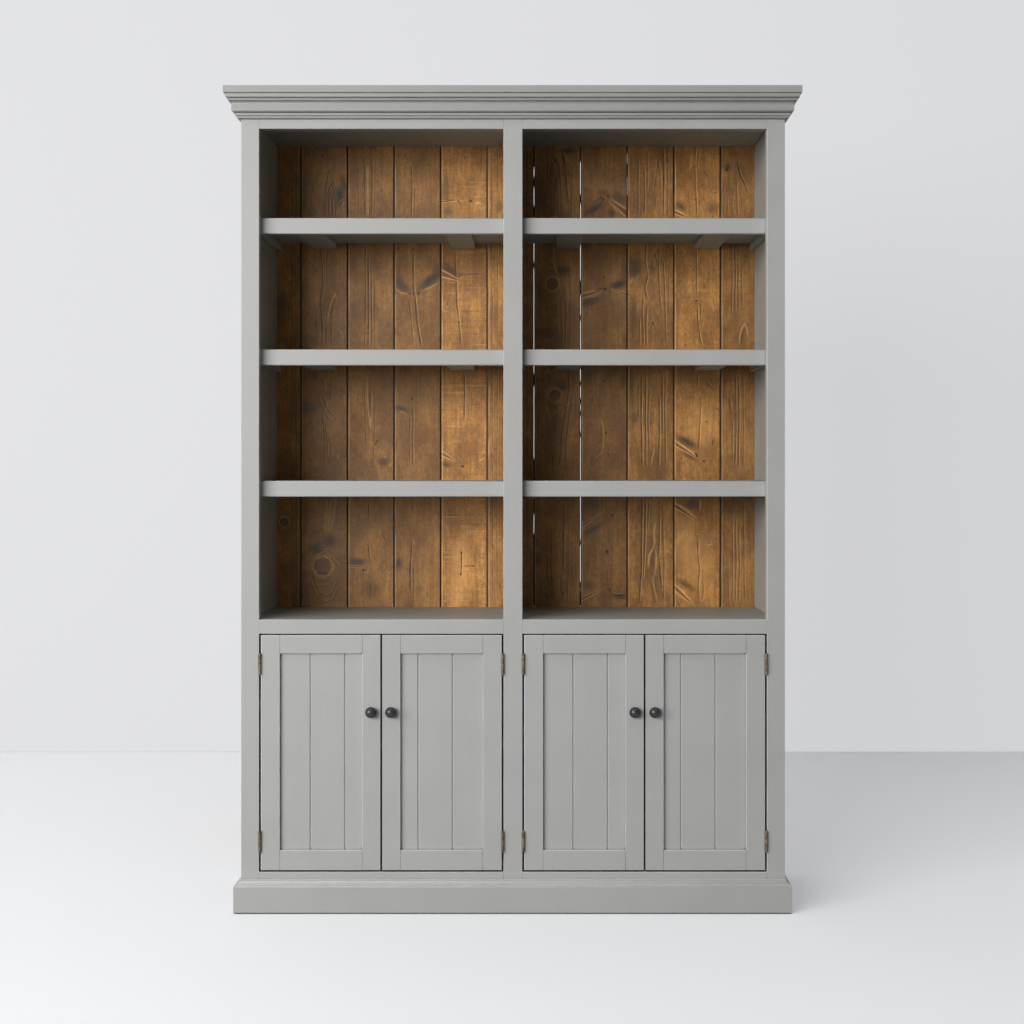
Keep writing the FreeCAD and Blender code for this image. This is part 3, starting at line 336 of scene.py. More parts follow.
    (15, -7, 9, 517, 1340, 515, 1280, 512, 1230, 510, 1180), (13, -5, 6, 509, 1405, 505, 1340),
    (14, -6, 5, 525, 1385, 545, 1360, 560, 1345), (14, -8, 5, 556, 1303, 568, 1294),
    (13, -6, 6, 552, 1238, 562, 1228), (17, 9, 0, 444, 1208, 470, 1192, 490, 1178, 505, 1164),
    (17, 9, 0, 444, 1033, 462, 1027, 480, 1015, 492, 1001, 506, 994),
    (15, 8, 0, 514, 1052, 514, 1010), (15, -7, 8, 508, 945, 508, 890, 513, 855, 508, 800, 513, 755),
    (13, -5, 5, 501, 945, 510, 945), (17, 9, 0, 443, 806, 462, 794, 477, 777, 496, 757),
    (13, -6, 6, 520, 830, 524, 800, 521, 755), (13, 5, 0, 528, 925, 540, 918, 552, 926),
    (15, -8, 5, 617, 2000, 625, 1955, 640, 1922, 652, 1890), (13, -5, 7, 616, 1935, 619, 1830),
    (12, -5, 5, 590, 1900, 592, 1830), (12, -4, 5, 604, 1920, 606, 1830),
    (13, -6, 6, 603, 1768, 604, 1650, 602, 1560), (13, -7, 7, 611, 1768, 613, 1680, 612, 1560),
    (12, -6, 6, 620, 1720, 621, 1560), (12, -6, 6, 630, 1700, 632, 1580),
    (15, 9, 0, 622, 1470, 628, 1515, 637, 1538, 645, 1524, 650, 1495),
    (13, -5, 0, 627, 1470, 633, 1505, 638, 1520, 643, 1505),
    (14, -8, 5, 597, 1335, 598, 1310, 601, 1283), (13, -7, 8, 613, 1400, 615, 1280, 612, 1133),
    (13, -7, 8, 622, 1400, 623, 1280, 621, 1133), (12, -5, 6, 604, 1280, 605, 1133),
    (12, -5, 6, 634, 1400, 636, 1250, 634, 1133), (13, -6, 8, 604, 1000, 606, 880, 603, 755),
    (13, -6, 8, 613, 1000, 615, 880, 612, 755), (13, -6, 8, 622, 980, 624, 860, 622, 755),
    (12, -5, 6, 592, 900, 594, 755), (12, -5, 6, 636, 1050, 638, 755),
)]


class Graph:
    """Joins up the nodes of one tree."""

    def __init__(self, tree):
        self.tree = tree

    def node(self, kind, inputs, **settings):
        made = self.tree.nodes.new(kind)
        for name, value in settings.items():
            setattr(made, name, value)
        for socket, value in inputs.items():
            self.feed(made.inputs[socket], value)
        return made

    def feed(self, socket, value):
        if isinstance(value, bpy.types.NodeSocket):
            self.tree.links.new(value, socket)
        elif socket.type == "RGBA":
            socket.default_value = (*value, 1.0)
        else:
            socket.default_value = value

    def math(self, operation, first, second=0.0, clamp=False):
        return self.node("ShaderNodeMath", {0: first, 1: second},
                         operation=operation, use_clamp=clamp).outputs[0]

    def times(self, product, *factors, clamp=False):
        for factor in factors[:-1]:
            product = self.math("MULTIPLY", product, factor)
        return self.math("MULTIPLY", product, factors[-1], clamp)

    def stretch(self, value, low, high, to_low=0.0, to_high=1.0):
        """Map low..high to another range, smoothly and clamped."""
        return self.node("ShaderNodeMapRange",
                         {0: value, 1: low, 2: high, 3: to_low, 4: to_high},
                         interpolation_type="SMOOTHSTEP").outputs[0]

    def mix(self, amount, first, second):
        made = self.node("ShaderNodeMix", {}, data_type="RGBA")
        for socket, value in ((0, amount), (6, first), (7, second)):
            self.feed(made.inputs[socket], value)
        return made.outputs[2]

    def places(self, scale=(1.0, 1.0, 1.0)):
        """The row frame's coordinates, scaled along each axis."""
        coordinates = self.node("ShaderNodeTexCoord", {}).outputs["Object"]
        return self.node("ShaderNodeMapping", {"Vector": coordinates, "Scale": scale}).outputs[0]

    def noise(self, vector, scale, detail=3.0, roughness=0.5):
        return self.node("ShaderNodeTexNoise", {"Vector": vector, "Scale": scale, "Detail": detail,
                                                "Roughness": roughness}).outputs[0]

    def attribute(self, name):
        return self.node("ShaderNodeAttribute", {}, attribute_name=name).outputs["Fac"]

    def attribute_parts(self, name):
        """The three numbers of an attribute that is a vector."""
        whole = self.node("ShaderNodeAttribute", {}, attribute_name=name).outputs["Vector"]
        return self.node("ShaderNodeSeparateXYZ", {0: whole}).outputs

    def openness(self, reach):
        """1 in the open, and less where other faces stand within reach."""
        return self.node("ShaderNodeAmbientOcclusion", {"Distance": reach}, samples=6).outputs["AO"]

    def seen(self):
        """1 where the camera, a mirror or glass looks, and 0 for light thrown on the object."""
        rays = self.node("ShaderNodeLightPath", {}).outputs
        either = self.math("MAXIMUM", rays["Is Camera Ray"], rays["Is Glossy Ray"])
        return self.math("MAXIMUM", either, rays["Is Transmission Ray"])


class Surface(Graph):
    """The graph of a new material."""

    def __init__(self, name, roughness=0.5, metallic=0.0):
        self.material = bpy.data.materials.new(name)
        self.material.use_nodes = True
        super().__init__(self.material.node_tree)
        self.shader = self.tree.nodes["Principled BSDF"]
        self.shader.inputs["Roughness"].default_value = roughness
        self.shader.inputs["Metallic"].default_value = metallic

    def colour(self, value):
        self.feed(self.shader.inputs["Base Color"], value)

    def roughness(self, value):
        self.feed(self.shader.inputs["Roughness"], value)

    def bump(self, height, distance):
        made = self.node("ShaderNodeBump",
                         {"Height": height, "Distance": distance, "Strength": 1.0})
        self.feed(self.shader.inputs["Normal"], made.outputs[0])


def scaled(colour, factor):
    return tuple(channel * factor for channel in colour)


def paint(name, along, base=PAINT, hollow=(0.15, 0.68)):
    """Brushed matt paint whose faint bristle marks run along x or along z.

    Painted shade darkens narrow gaps and corners: hollow is how open a place is where it is all
    painted shade and all paint."""
    graph = Surface(name)
    squeeze = 0.035
    scale = [squeeze if axis == along else 1.0 for axis in "xyz"]
    bristles = graph.noise(graph.places(scale), 900.0, 3.0, 0.6)
    cloud = graph.noise(graph.places(), 7.0, 3.0, 0.55)
    tone = graph.mix(graph.stretch(cloud, 0.3, 0.7), scaled(base, 0.965), scaled(base, 1.03))
    tone = graph.mix(graph.stretch(bristles, 0.35, 0.75), tone, scaled(base, 1.04))
    # Painted shade: where other faces stand near, ambient occlusion takes the colour towards near
    # black, as shade falls in gaps and corners.
    clear = graph.stretch(graph.openness(HOLLOW_REACH), *hollow)
    graph.colour(graph.mix(clear, HOLLOW_SHADE_AND_DIRT, tone))
    graph.roughness(graph.stretch(cloud, 0.25, 0.75, 0.44, 0.56))
    graph.bump(bristles, 0.00012)
    return graph.material


def smooth(name, dark, pale, roughness, metallic):
    """Metal or plastic whose tone comes and goes, as tarnish does."""
    graph = Surface(name, metallic=metallic)
    cloud = graph.noise(graph.places(), 160.0, 4.0, 0.6)
    graph.colour(graph.mix(graph.stretch(cloud, 0.35, 0.7), dark, pale))
    graph.roughness(graph.stretch(cloud, 0.3, 0.7, roughness, roughness + 0.15))
    graph.bump(cloud, 0.00005)
    return graph.material


def stage_material(name, tone, glow, thrown):
    """Matt; where the camera, a mirror or glass looks, a share of its tone is its own light.

    The light that it throws back on the object is that of the darker tone. Where other faces stand
    near, as in the narrow gap under the plinth, its colour and own light are darkened, a painted
    shade, and it doesn't show from behind, where it would hide the object."""
    graph = Surface(name, roughness=0.9)
    seen = graph.seen()
    # Painted shade: ambient occlusion darkens the floor and wall where other faces stand near.
    clear = graph.stretch(graph.openness(2 * HOLLOW_REACH), 0.12, 0.5)
    lit = graph.mix(seen, scaled(tone, thrown), scaled(tone, 1 - glow))
    graph.colour(graph.mix(clear, HOLLOW_SHADE_AND_DIRT, lit))
    graph.feed(graph.shader.inputs["Emission Color"], tone)
    graph.feed(graph.shader.inputs["Emission Strength"], graph.times(seen, glow, clear))
    behind = graph.node("ShaderNodeNewGeometry", {}).outputs["Backfacing"]
    nothing = graph.node("ShaderNodeBsdfTransparent", {}).outputs[0]
    one_sided = graph.node("ShaderNodeMixShader",
                           {0: behind, 1: graph.shader.outputs[0], 2: nothing}).outputs[0]
    graph.feed(graph.tree.nodes["Material Output"].inputs["Surface"], one_sided)
    return graph.material


def new_piece(name, mesh, body, slot, *stands_for):
    piece = bpy.data.objects.new(name, mesh)
    bpy.context.scene.collection.objects.link(piece)
    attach(piece, body)
    if stands_for:
        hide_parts(*stands_for)
    return piece


def weigh_front_edges(node, outline, shortest=12 * MM):
    """Mark the long edges round a piece's front, so that holes and grooves stay sharp.

    Those on the outline of a door are eased in full, and the others, beside joints, less."""
    mesh = node.data
    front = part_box(node.name)[0].y
    places = [node.matrix_world @ corner.co for corner in mesh.vertices]
    faces_front = {}
    for face in mesh.polygons:
        for key in face.edge_keys:
            faces_front[key] = faces_front.get(key, 0) + (face.normal.y < -0.99)
    weights = mesh.attributes.new("bevel_weight_edge", "FLOAT", "EDGE")
    for edge in mesh.edges:
        first, second = (places[corner] for corner in edge.vertices)
        at_front = max(first.y, second.y) < front + 0.05 * MM
        on_rim = faces_front.get(edge.key, 0) < 2
        if at_front and on_rim and (second - first).length > shortest:
            outer = any(max(abs(end[axis] - side[axis]) for end in (first, second)) < 0.1 * MM
                        for side in outline for axis in (0, 2))
            weights.data[edge.index].value = 1.0 if outer else JOINT_ARRIS / FRONT_ARRIS


def ease_arrises(node, width, arris, outline):
    """Take the sharp edges off a CAD piece, and paint the eased faces paler, a painted highlight
    where light catches the edge.

    With an outline, which may be empty, only the long front edges are eased."""
    front_only = outline is not None
    if front_only:
        weigh_front_edges(node, outline)
    weld = node.modifiers.new("weld", "WELD")
    weld.merge_threshold = 1e-5
    flat = node.modifiers.new("flat", "DECIMATE")
    flat.decimate_type = "DISSOLVE"
    flat.angle_limit = math.radians(0.5)
    bevel = node.modifiers.new("arris", "BEVEL")
    bevel.width = width
    bevel.segments = 2
    bevel.limit_method = "WEIGHT" if front_only else "ANGLE"
    bevel.angle_limit = math.radians(40)
    bevel.material = len(node.data.materials)
    bevel.harden_normals = True
    node.data.materials.append(arris)


def dress(names, material, width=0.0, arris=None, outline=None):
    for name in names:
        node = nodes[name]
        node.data.materials.clear()
        node.data.materials.append(material)
        if width:
            ease_arrises(node, width, arris, outline)


def dress_inner_faces(inside):
    """The faces of the side panels that look into the shelves, which take the darker inside paint,
    a painted shade.
    """
    for side, inward in (("left", 1.0), ("right", -1.0)):
        panel = nodes[f"side_panel_{side}"].data
        panel.materials.append(inside)
        for face in panel.polygons:
            if face.normal.x * inward > 0.9:
                face.material_index = len(panel.materials) - 1


def dress_frame():
    upright = paint("paint_upright", "z")
    level = paint("paint_level", "x")
    # Paler paint for the eased edges: a painted highlight where light catches them.
    arris = paint("paint_arris_highlight", "z", PAINT_ARRIS_HIGHLIGHT, (0.45, 0.85))
    # The darker inside paint is painted shade.
    inside = paint("paint_inside_shaded", "x", PAINT_INSIDE_SHADED)
    # The cornice's darker paint is painted shade.
    moulding_shaded = paint("paint_moulding_shaded", "x", PAINT_MOULDING_SHADED, (0.08, 0.42))

    def named(*starts):
        return [name for name in nodes if name.startswith(starts)]

    dress(named("face_stile_"), upright, FRONT_ARRIS, arris, ())
    dress(named("face_rail_"), level, FRONT_ARRIS, arris, ())
    dress(named("side_panel_"), upright, SMALL_ARRIS, arris)
    dress_inner_faces(inside)
    # The insides of the shelves take the darker paint too: painted shade.
    dress(["centre_divider", "top_board", "cupboard_floor", "waist_boards", "cupboard_shelves",
           "shelf_cleats", "shelf_battens"], inside, SMALL_ARRIS, arris)
    dress(named("cornice_"), moulding_shaded, SMALL_ARRIS, arris)
    dress(named("plinth_", "shelf_lips"), level, SMALL_ARRIS, arris)
    dress(named("shelf_left", "shelf_right"), inside, SMALL_ARRIS, arris)
    for door in DOORS:
        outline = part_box(f"{door}_stiles")
        dress([f"{door}_stiles"], upright, FRONT_ARRIS, arris, outline)
        dress([f"{door}_rails"], level, FRONT_ARRIS, arris, outline)
        dress([f"{door}_panel"], upright)


def joint_line(corners, faces, x, low, high):
    """A prism of dirt that fills the bottom of the vee where two eased edges meet at x."""
    start = len(corners)
    half_width = JOINT_ARRIS - JOINT_DIRT_DEPTH
    mouth, bottom = FRONT + JOINT_DIRT_DEPTH, FRONT + JOINT_ARRIS
    for z in (low, high):
        corners += [(x - half_width, mouth, z), (x + half_width, mouth, z), (x, bottom, z)]
    faces += [[start + corner for corner in face]
              for face in ((0, 2, 1), (3, 4, 5), (0, 1, 4, 3), (1, 2, 5, 4), (2, 0, 3, 5))]


def add_joint_lines(body, lines, dirt):
    corners, faces = [], []
    for line in lines:
        joint_line(corners, faces, *line)
    mesh = bpy.data.meshes.new(f"{body}_joint_lines")
    mesh.from_pydata(corners, [], faces)
    mesh.materials.append(dirt)
    new_piece(mesh.name, mesh, body, "grey_paint")


def build_joint_lines():
    """The joints between stiles and rails, which show as fine dark lines through the paint."""
    dirt = Surface("joint_dirt", roughness=0.8)
    dirt.colour(HOLLOW_SHADE_AND_DIRT)
    for number, door in enumerate(DOORS):
        low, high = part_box(f"{door}_stiles")
        stiles = (HINGE_STILE, MEETING_STILE) if number % 2 == 0 else (MEETING_STILE, HINGE_STILE)
        spans = ((low.z, low.z + BOTTOM_RAIL), (high.z - TOP_RAIL, high.z))
        add_joint_lines(door, [(x, *span) for x in (low.x + stiles[0], high.x - stiles[1])
                               for span in spans], dirt.material)
    lines = []
    for rail in ("top", "waist", "bottom"):
        for side in ("left", "right"):
            low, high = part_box(f"face_rail_{rail}_{side}")
            lines += [(x, low.z, high.z) for x in (low.x, high.x)]
    add_joint_lines("carcass", lines, dirt.material)


def dress_hardware():
    iron = smooth("iron", scaled(IRON, 0.8), scaled(IRON, 1.2), 0.17, 0.0)
    brass = smooth("brass", BRASS_DARK, BRASS_PALE, 0.42, 0.35)
    zinc = smooth("zinc", scaled(ZINC, 0.8), ZINC, 0.3, 1.0)
    plastic = smooth("catch_plastic", scaled(PLASTIC, 0.85), PLASTIC, 0.4, 0.0)
    dress([f"{door}_knob" for door in DOORS], iron)
    dress([f"{door}_hinge_leaves" for door in DOORS] + ["hinge_frame_leaves", "hinge_pins"], brass)
    dress([f"{door}_strike_plate" for door in DOORS], zinc)
    dress(["magnetic_catches"], plastic)


def joint_gap(heights, width, closed):
    """The open width of a joint up its height, in metres: it shuts where the boards touch."""
    gap = np.full_like(heights, width)
    for middle, reach in closed:
        away = (np.abs(heights - middle * MM) - reach * MM) / JOINT_TAPER
        gap *= np.clip(away, SHUT, 1.0)
    return gap


def wander(heights, seed, amount):
    """Slow random straying along a board, the same on every run."""
    draw = np.random.default_rng(seed)
    waves = [draw.uniform(0.3, 1.0) * np.sin(heights * pitch + draw.uniform(0, math.tau))
             for pitch in (4.1, 9.7, 23.0, 51.0)]
    return amount * sum(waves) / 2.0


def board_rows():
    """Heights of a board's rows of vertices, close together where the open shelves show them."""
    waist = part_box("waist_boards")[1].z
    hidden = np.linspace(BOARDS_BOTTOM, waist, HIDDEN_ROWS, endpoint=False)
    return np.concatenate([hidden, np.linspace(waist, BOARDS_TOP, SEEN_ROWS)])


def board_outline(low, high):
    """Each row's outline across a board, from its back left corner over the front and round."""
    turn = np.radians([0, 30, 60, 90])
    rise = BOARD_ARRIS * (1 - np.cos(turn))
    sink = BOARD_ARRIS * (1 - np.sin(turn))
    share = np.linspace(0, 1, FRONT_STEPS + 1)[1:-1]
    left_x = low[:, None] + rise
    front_x = low[:, None] + BOARD_ARRIS + share * (high - low - 2 * BOARD_ARRIS)[:, None]
    right_x = high[:, None] - rise[::-1]
    back_share = np.linspace(1, 0, 5)
    back_x = low[:, None] + back_share * (high - low)[:, None]
    x = np.hstack([left_x, front_x, right_x, back_x])
    depth = np.concatenate([sink, np.zeros_like(share), sink[::-1],
                            np.full_like(back_share, BOARD_DEPTH)])
    return x, np.broadcast_to(BOARDS_FRONT + depth, x.shape)


def offset(feature, x, z):
    return x - feature.x * MM, z - feature.z * MM


def locate_knot(knot, x, z):
    across, up = offset(knot, x, z)
    radius = knot.radius * MM
    return across / radius, up / (radius * knot.stretch), np.hypot(across, up), knot.red


def locate_spike(spike, x, z):
    """Along a branch that was sawn lengthwise, from its broad end, and across its taper."""
    reach_x, reach_z = (spike.tip_x - spike.x) * MM, (spike.tip_z - spike.z) * MM
    length = math.hypot(reach_x, reach_z)
    from_x, from_z = offset(spike, x, z)
    along = (from_x * reach_x + from_z * reach_z) / length**2
    across = (from_x * reach_z - from_z * reach_x) / length
    half_width = spike.half_width * MM * (1 - 0.75 * np.clip(along, 0, 1))
    beyond = np.abs(along - 0.5) - 0.5
    return along, across / half_width, np.hypot(np.maximum(beyond, 0) * length, across), spike.red


def locate_mark(mark, x, z):
    across, up = offset(mark, x, z)
    across = across - mark.lean * MM * up / (mark.up * MM)
    beyond = np.maximum(np.abs(up) - mark.up * MM, 0)
    return across / (mark.across * MM), up / (mark.up * MM), np.hypot(across, beyond), 0.0


def locate_stroke(stroke, x, z):
    """Distance from a drawn line, below zero on its left side, and how much of it is left there."""
    points = np.array(stroke.points) * MM
    spans = np.diff(points, axis=0)
    lengths = np.hypot(*spans.T)
    whole = lengths.sum()
    taper = min(20 * MM, whole / 3)
    nearest_far = np.full_like(x, np.inf)
    off, share = np.zeros_like(x), np.zeros_like(x)
    for start, span, length, run in zip(points, spans, lengths, np.cumsum(lengths) - lengths):
        from_x, from_z = x - start[0], z - start[1]
        along = np.clip((from_x * span[0] + from_z * span[1]) / length**2, 0, 1)
        far = np.hypot(from_x - along * span[0], from_z - along * span[1])
        side = np.where(from_z * span[0] > from_x * span[1], 1, -1)
        closer = far < nearest_far
        nearest_far = np.where(closer, far, nearest_far)
        off = np.where(closer, side * far, off)
        from_end = np.minimum(run + along * length, whole - run - along * length)
        share = np.where(closer, np.clip(from_end / taper, 0, 1), share)
    return nearest_far, off, share


def stroke_layers(strokes, x, z):
    """Place each vertex about the strokes, in layers that keep neighbouring strokes apart."""
    reach, room = 9 * MM, 20 * MM
    layers = [[] for _ in range(STROKE_LAYERS)]
    for stroke in strokes:
        far, off, share = locate_stroke(stroke, x, z)
        free = [min([np.min(far + other[0]) for other in layer], default=np.inf)
                for layer in layers]
        best = next((step for step, space in enumerate(free) if space > room), int(np.argmax(free)))
        layers[best].append((far, off, share, stroke))
    fields = []
    for layer in layers:
        field = np.zeros((*x.shape, 3))
        field[..., 0] = 9.0
        if layer:
            far = np.stack([entry[0] for entry in layer])
            order = np.argsort(far, axis=0)
            first = np.take_along_axis(far, order[:1], axis=0)[0]
            second = np.take_along_axis(far, order[1:2], axis=0)[0] if len(layer) > 1 else first + 1
            weight = (np.clip((reach - first) / (4 * MM), 0, 1)
                      * np.clip((second - first) / (6 * MM), 0, 1))
            for step, (_, off, share, stroke) in enumerate(layer):
                here = order[0] == step
                side = -1 if stroke.beside < 0 else 1
                values = (side * off / (stroke.half_width * MM), stroke.core * share * weight,
                          abs(stroke.beside) * share * weight)
                field[here] = np.stack(values, axis=-1)[here]
        fields.append(field)
    return fields


def nearest(x, z, features, locate, reach):
    """Place each vertex about its nearest feature, with a weight that fades to nothing at reach."""
    best = np.full_like(x, np.inf)
    placed = np.full((*x.shape, 3), 9.0)
    kind = np.zeros_like(x)
    for feature in features:
        across, up, far, value = locate(feature, x, z)
        closer = far < best
        best = np.where(closer, far, best)
        kind = np.where(closer, value, kind)
        placed[closer] = np.stack([across, up, far], axis=-1)[closer]
    placed[..., 2] = np.clip((reach - best) / (0.4 * reach), 0, 1)
    return placed, kind


def give_attribute(mesh, name, values):
    wide = values.ndim > 2
    layer = mesh.attributes.new(name, "FLOAT_VECTOR" if wide else "FLOAT", "POINT")
    layer.data.foreach_set("vector" if wide else "value", values.astype(np.float32).ravel())


def grain_fields(mesh, x, z, low, high, number):
    """What the pine's material needs to know at each vertex."""
    def on_board(feature_x):
        return low.min() <= feature_x * MM <= high.max()

    knots, spikes, marks, smudges = ([feature for feature in features if on_board(feature.x)]
                                     for features in (KNOTS, SPIKES, MARKS, SMUDGES))
    strokes = [stroke for stroke in STROKES if on_board(stroke.points[0][0])]
    warp = wander(z, 40 + number, 0.004)
    for knot in knots:
        # The grain parts round a knot, over a reach that is longer up the board than across it.
        across, up = offset(knot, x, z)
        up, radius = up / 2.2, 1.35 * knot.radius * MM
        warp = warp - across * np.minimum(radius**2 / (across**2 + up**2 + 1e-9), 1)
    cloud = np.zeros_like(x)
    for smudge in smudges:
        turn = math.radians(smudge.turn)
        from_x, from_z = offset(smudge, x, z)
        along = (from_x * math.cos(turn) + from_z * math.sin(turn)) / (1.1 * smudge.length * MM)
        across = (from_z * math.cos(turn) - from_x * math.sin(turn)) / (1.2 * smudge.thickness * MM)
        # Smudges that overlap never add up to more than full strength.
        cloud = cloud + (1 - np.abs(cloud)) * smudge.strength * np.exp(-(along**2 + across**2)**1.4)
    for name, features, locate, reach in (("knot", knots, locate_knot, 60 * MM),
                                          ("spike", spikes, locate_spike, 16 * MM),
                                          ("mark", marks, locate_mark, 14 * MM)):
        placed, kind = nearest(x, z, features, locate, reach)
        give_attribute(mesh, name, placed)
        give_attribute(mesh, name + "_red", kind)
    for layer, field in enumerate(stroke_layers(strokes, x, z)):
        give_attribute(mesh, f"stroke_{layer}", field)
    from_left, from_right = (x - low[:, None]) / MM, (high[:, None] - x) / MM
    for name, values in (("warp", warp), ("smudge", cloud), ("sawn", SAWN.get(number, 0.0)),
                         ("left_edge", from_left), ("edge", np.minimum(from_left, from_right)),
                         ("board", float(number)), ("tone", BOARD_TONES_AND_LIGHT[number])):
        give_attribute(mesh, name, np.broadcast_to(values, x.shape))


def board_mesh(number, low, high, heights, front, back):
    x, y = board_outline(low, high)
    y = y + wander(heights, 70 + number, 0.00025)[:, None] * (y < BOARDS_BACK - BOARD_ARRIS)
    z = np.broadcast_to(heights[:, None], x.shape)
    rows, around = x.shape
    vertices = np.stack([x, y, z], axis=-1).reshape(-1, 3)
    faces = []
    for row in range(rows - 1):
        for step in range(around):
            after = (step + 1) % around
            faces.append((row * around + step, row * around + after,
                          (row + 1) * around + after, (row + 1) * around + step))
    faces.append(tuple(reversed(range(around))))
    faces.append(tuple(range((rows - 1) * around, rows * around)))
    mesh = bpy.data.meshes.new(f"board_{number + 1:02d}")
    mesh.from_pydata(vertices, [], faces)
    mesh.materials.append(front)
    mesh.materials.append(back)
    mesh.shade_smooth()
    mesh.set_sharp_from_angle(angle=math.radians(50))
    for face in mesh.polygons:
        if face.normal.y > 0.7:
            face.material_index = 1
    grain_fields(mesh, x, z, low, high, number)
    return mesh


def build_boards():
    """The upright pine boards, in place of the plain solids, with joints that vary."""
    front, back = pine("pine"), raw_pine("pine_back")
    heights = board_rows()
    joints = sorted(BOARDS_RIGHT - END_BOARD - step * BOARD_PITCH for step in range(10))
    lows, highs = [], []
    for number, joint in enumerate(joints):
        width, closed = JOINTS[number]
        half = joint_gap(heights, width * MM, closed) / 2
        line = joint + wander(heights, number, 0.00035)
        highs.append(line - half)
        lows.append(line + half)
    lows.insert(0, np.full_like(heights, BOARDS_LEFT))
    highs.append(np.full_like(heights, BOARDS_RIGHT))
    for number, (low, high) in enumerate(zip(lows, highs)):
        mesh = board_mesh(number, low, high, heights, front, back)
        side = "left" if number < 6 else "right"
        new_piece(mesh.name, mesh, "carcass", "stained_pine", f"back_boards_{side}")


def pine(name):
    """Stained, waxed pine: soft figure, drawn lines, knots, spikes and marks."""
    graph = Surface(name)
    spot = graph.node("ShaderNodeSeparateXYZ",
                      {0: graph.node("ShaderNodeTexCoord", {}).outputs["Object"]}).outputs
    x = graph.math("ADD", spot[0], graph.attribute("warp"))
    seed = graph.times(graph.attribute("board"), 3.7)

    def figure(across, up, detail=2.0, roughness=0.5):
        place = graph.node("ShaderNodeCombineXYZ", {
            0: graph.times(x, across), 1: seed, 2: graph.times(spot[2], up)}).outputs[0]
        return graph.noise(place, 1.0, detail, roughness)

    cloud = figure(15.0, 8.0, 4.0, 0.6)
    murk = figure(22.0, 16.0, 3.0, 0.6)
    streak = figure(150.0, 6.0, 3.0, 0.6)
    fleck = figure(420.0, 150.0, 2.0, 0.6)
    mottle = figure(110.0, 70.0, 3.0, 0.65)
    waver = figure(60.0, 14.0)
    sawing = figure(10.0, 150.0, 2.0, 0.6)
    dark_line, pale_line = drawn_lines(graph, waver, figure(120.0, 30.0))

    tone = graph.mix(graph.stretch(cloud, 0.34, 0.66), PINE_LOW, PINE_HIGH)
    for field, low, high, at_low, at_high, colour in (
            (murk, 0.46, 0.66, 0.0, 0.6, PINE_GREY), (mottle, 0.36, 0.62, 0.24, 0.0, PINE_DARK),
            (streak, 0.32, 0.68, 0.34, 0.0, PINE_DARK), (fleck, 0.36, 0.62, 0.30, 0.0, PINE_DARK),
            (fleck, 0.58, 0.78, 0.0, 0.20, PINE_PALE)):
        tone = graph.mix(graph.stretch(field, low, high, at_low, at_high), tone, colour)
    sawn = graph.attribute("sawn")
    for low, high, most, colour in ((0.42, 0.30, 0.35, PINE_DARK), (0.60, 0.72, 0.22, PINE_PALE)):
        cut = graph.stretch(sawing, low, high, 0.0, most)
        tone = graph.mix(graph.times(sawn, cut), tone, colour)

    smudge = graph.attribute("smudge")
    ragged = graph.stretch(graph.math("ADD", cloud, mottle), 0.8, 1.15, 0.8, 1.1)
    tone = graph.mix(graph.times(smudge, ragged, 0.97, clamp=True), tone, PINE_SMUDGE)
    tone = graph.mix(graph.times(smudge, -0.75, clamp=True), tone, PINE_GLOW)
    tone = graph.mix(graph.times(dark_line, 0.9), tone, PINE_LINE)
    tone = graph.mix(graph.times(pale_line, 0.55), tone, PINE_PALE)
    tone = spike_colour(graph, knot_colour(graph, tone))
    pit = mark_shape(graph)
    tone = graph.mix(graph.times(pit, 0.92), tone, PINE_PIT)

    # The boards' edges are dark, partly stain in the joints and partly painted shade, and the left
    # one has a pale strip beside it, a painted highlight where light from the left catches it.
    tone = graph.mix(graph.stretch(graph.attribute("edge"), 3.0, 1.9, 0.0, 0.96), tone, PINE_PIT)
    left = graph.attribute("left_edge")
    left_highlight = graph.times(graph.stretch(left, 2.6, 3.4), graph.stretch(left, 6.8, 4.4),
                       graph.stretch(waver, 0.35, 0.6, 0.1, 1.0), 0.6)
    tone = graph.mix(left_highlight, tone, PINE_PALE)
    # Each board's factor scales its colour, partly its stain and partly painted light and shade.
    graph.colour(graph.node("ShaderNodeVectorMath", {0: tone, "Scale": graph.attribute("tone")},
                            operation="SCALE").outputs[0])
    graph.roughness(graph.stretch(streak, 0.3, 0.7, 0.50, 0.60))
    height = graph.math("SUBTRACT", graph.times(fleck, 0.4), dark_line)
    height = graph.math("SUBTRACT", height, graph.times(pit, 2.0))
    height = graph.math("ADD", height, graph.times(sawn, graph.times(sawing, 0.8)))
    graph.bump(height, 0.0005)
    return graph.material


def drawn_lines(graph, waver, breaks):
    """Darkness and paleness of the drawn strokes, which stray a little and fade here and there."""
    stray = graph.stretch(waver, 0.2, 0.8, -0.6, 0.6)
    force = graph.stretch(breaks, 0.3, 0.6, 0.55, 1.15)
    dark, pale = 0.0, 0.0
    for layer in range(STROKE_LAYERS):
        off, core, beside = graph.attribute_parts(f"stroke_{layer}")
        off = graph.math("ADD", off, stray)
        line = graph.times(graph.stretch(graph.math("ABSOLUTE", off), 1.7, 0.7), core)
        strip = graph.times(graph.stretch(off, 1.0, 1.7), graph.stretch(off, 3.3, 2.3), beside)
        dark = graph.math("ADD", dark, graph.math("MAXIMUM", graph.times(line, -1.0), 0.0))
        pale = graph.math("ADD", pale, graph.math("ADD", graph.math("MAXIMUM", line, 0.0), strip))
    return graph.times(dark, force, clamp=True), graph.times(pale, force, clamp=True)


def distance(graph, across, up):
    """From the middle of a knot or mark, in its own radii."""
    square = graph.math("ADD", graph.times(across, across), graph.times(up, up))
    return graph.math("SQRT", square)


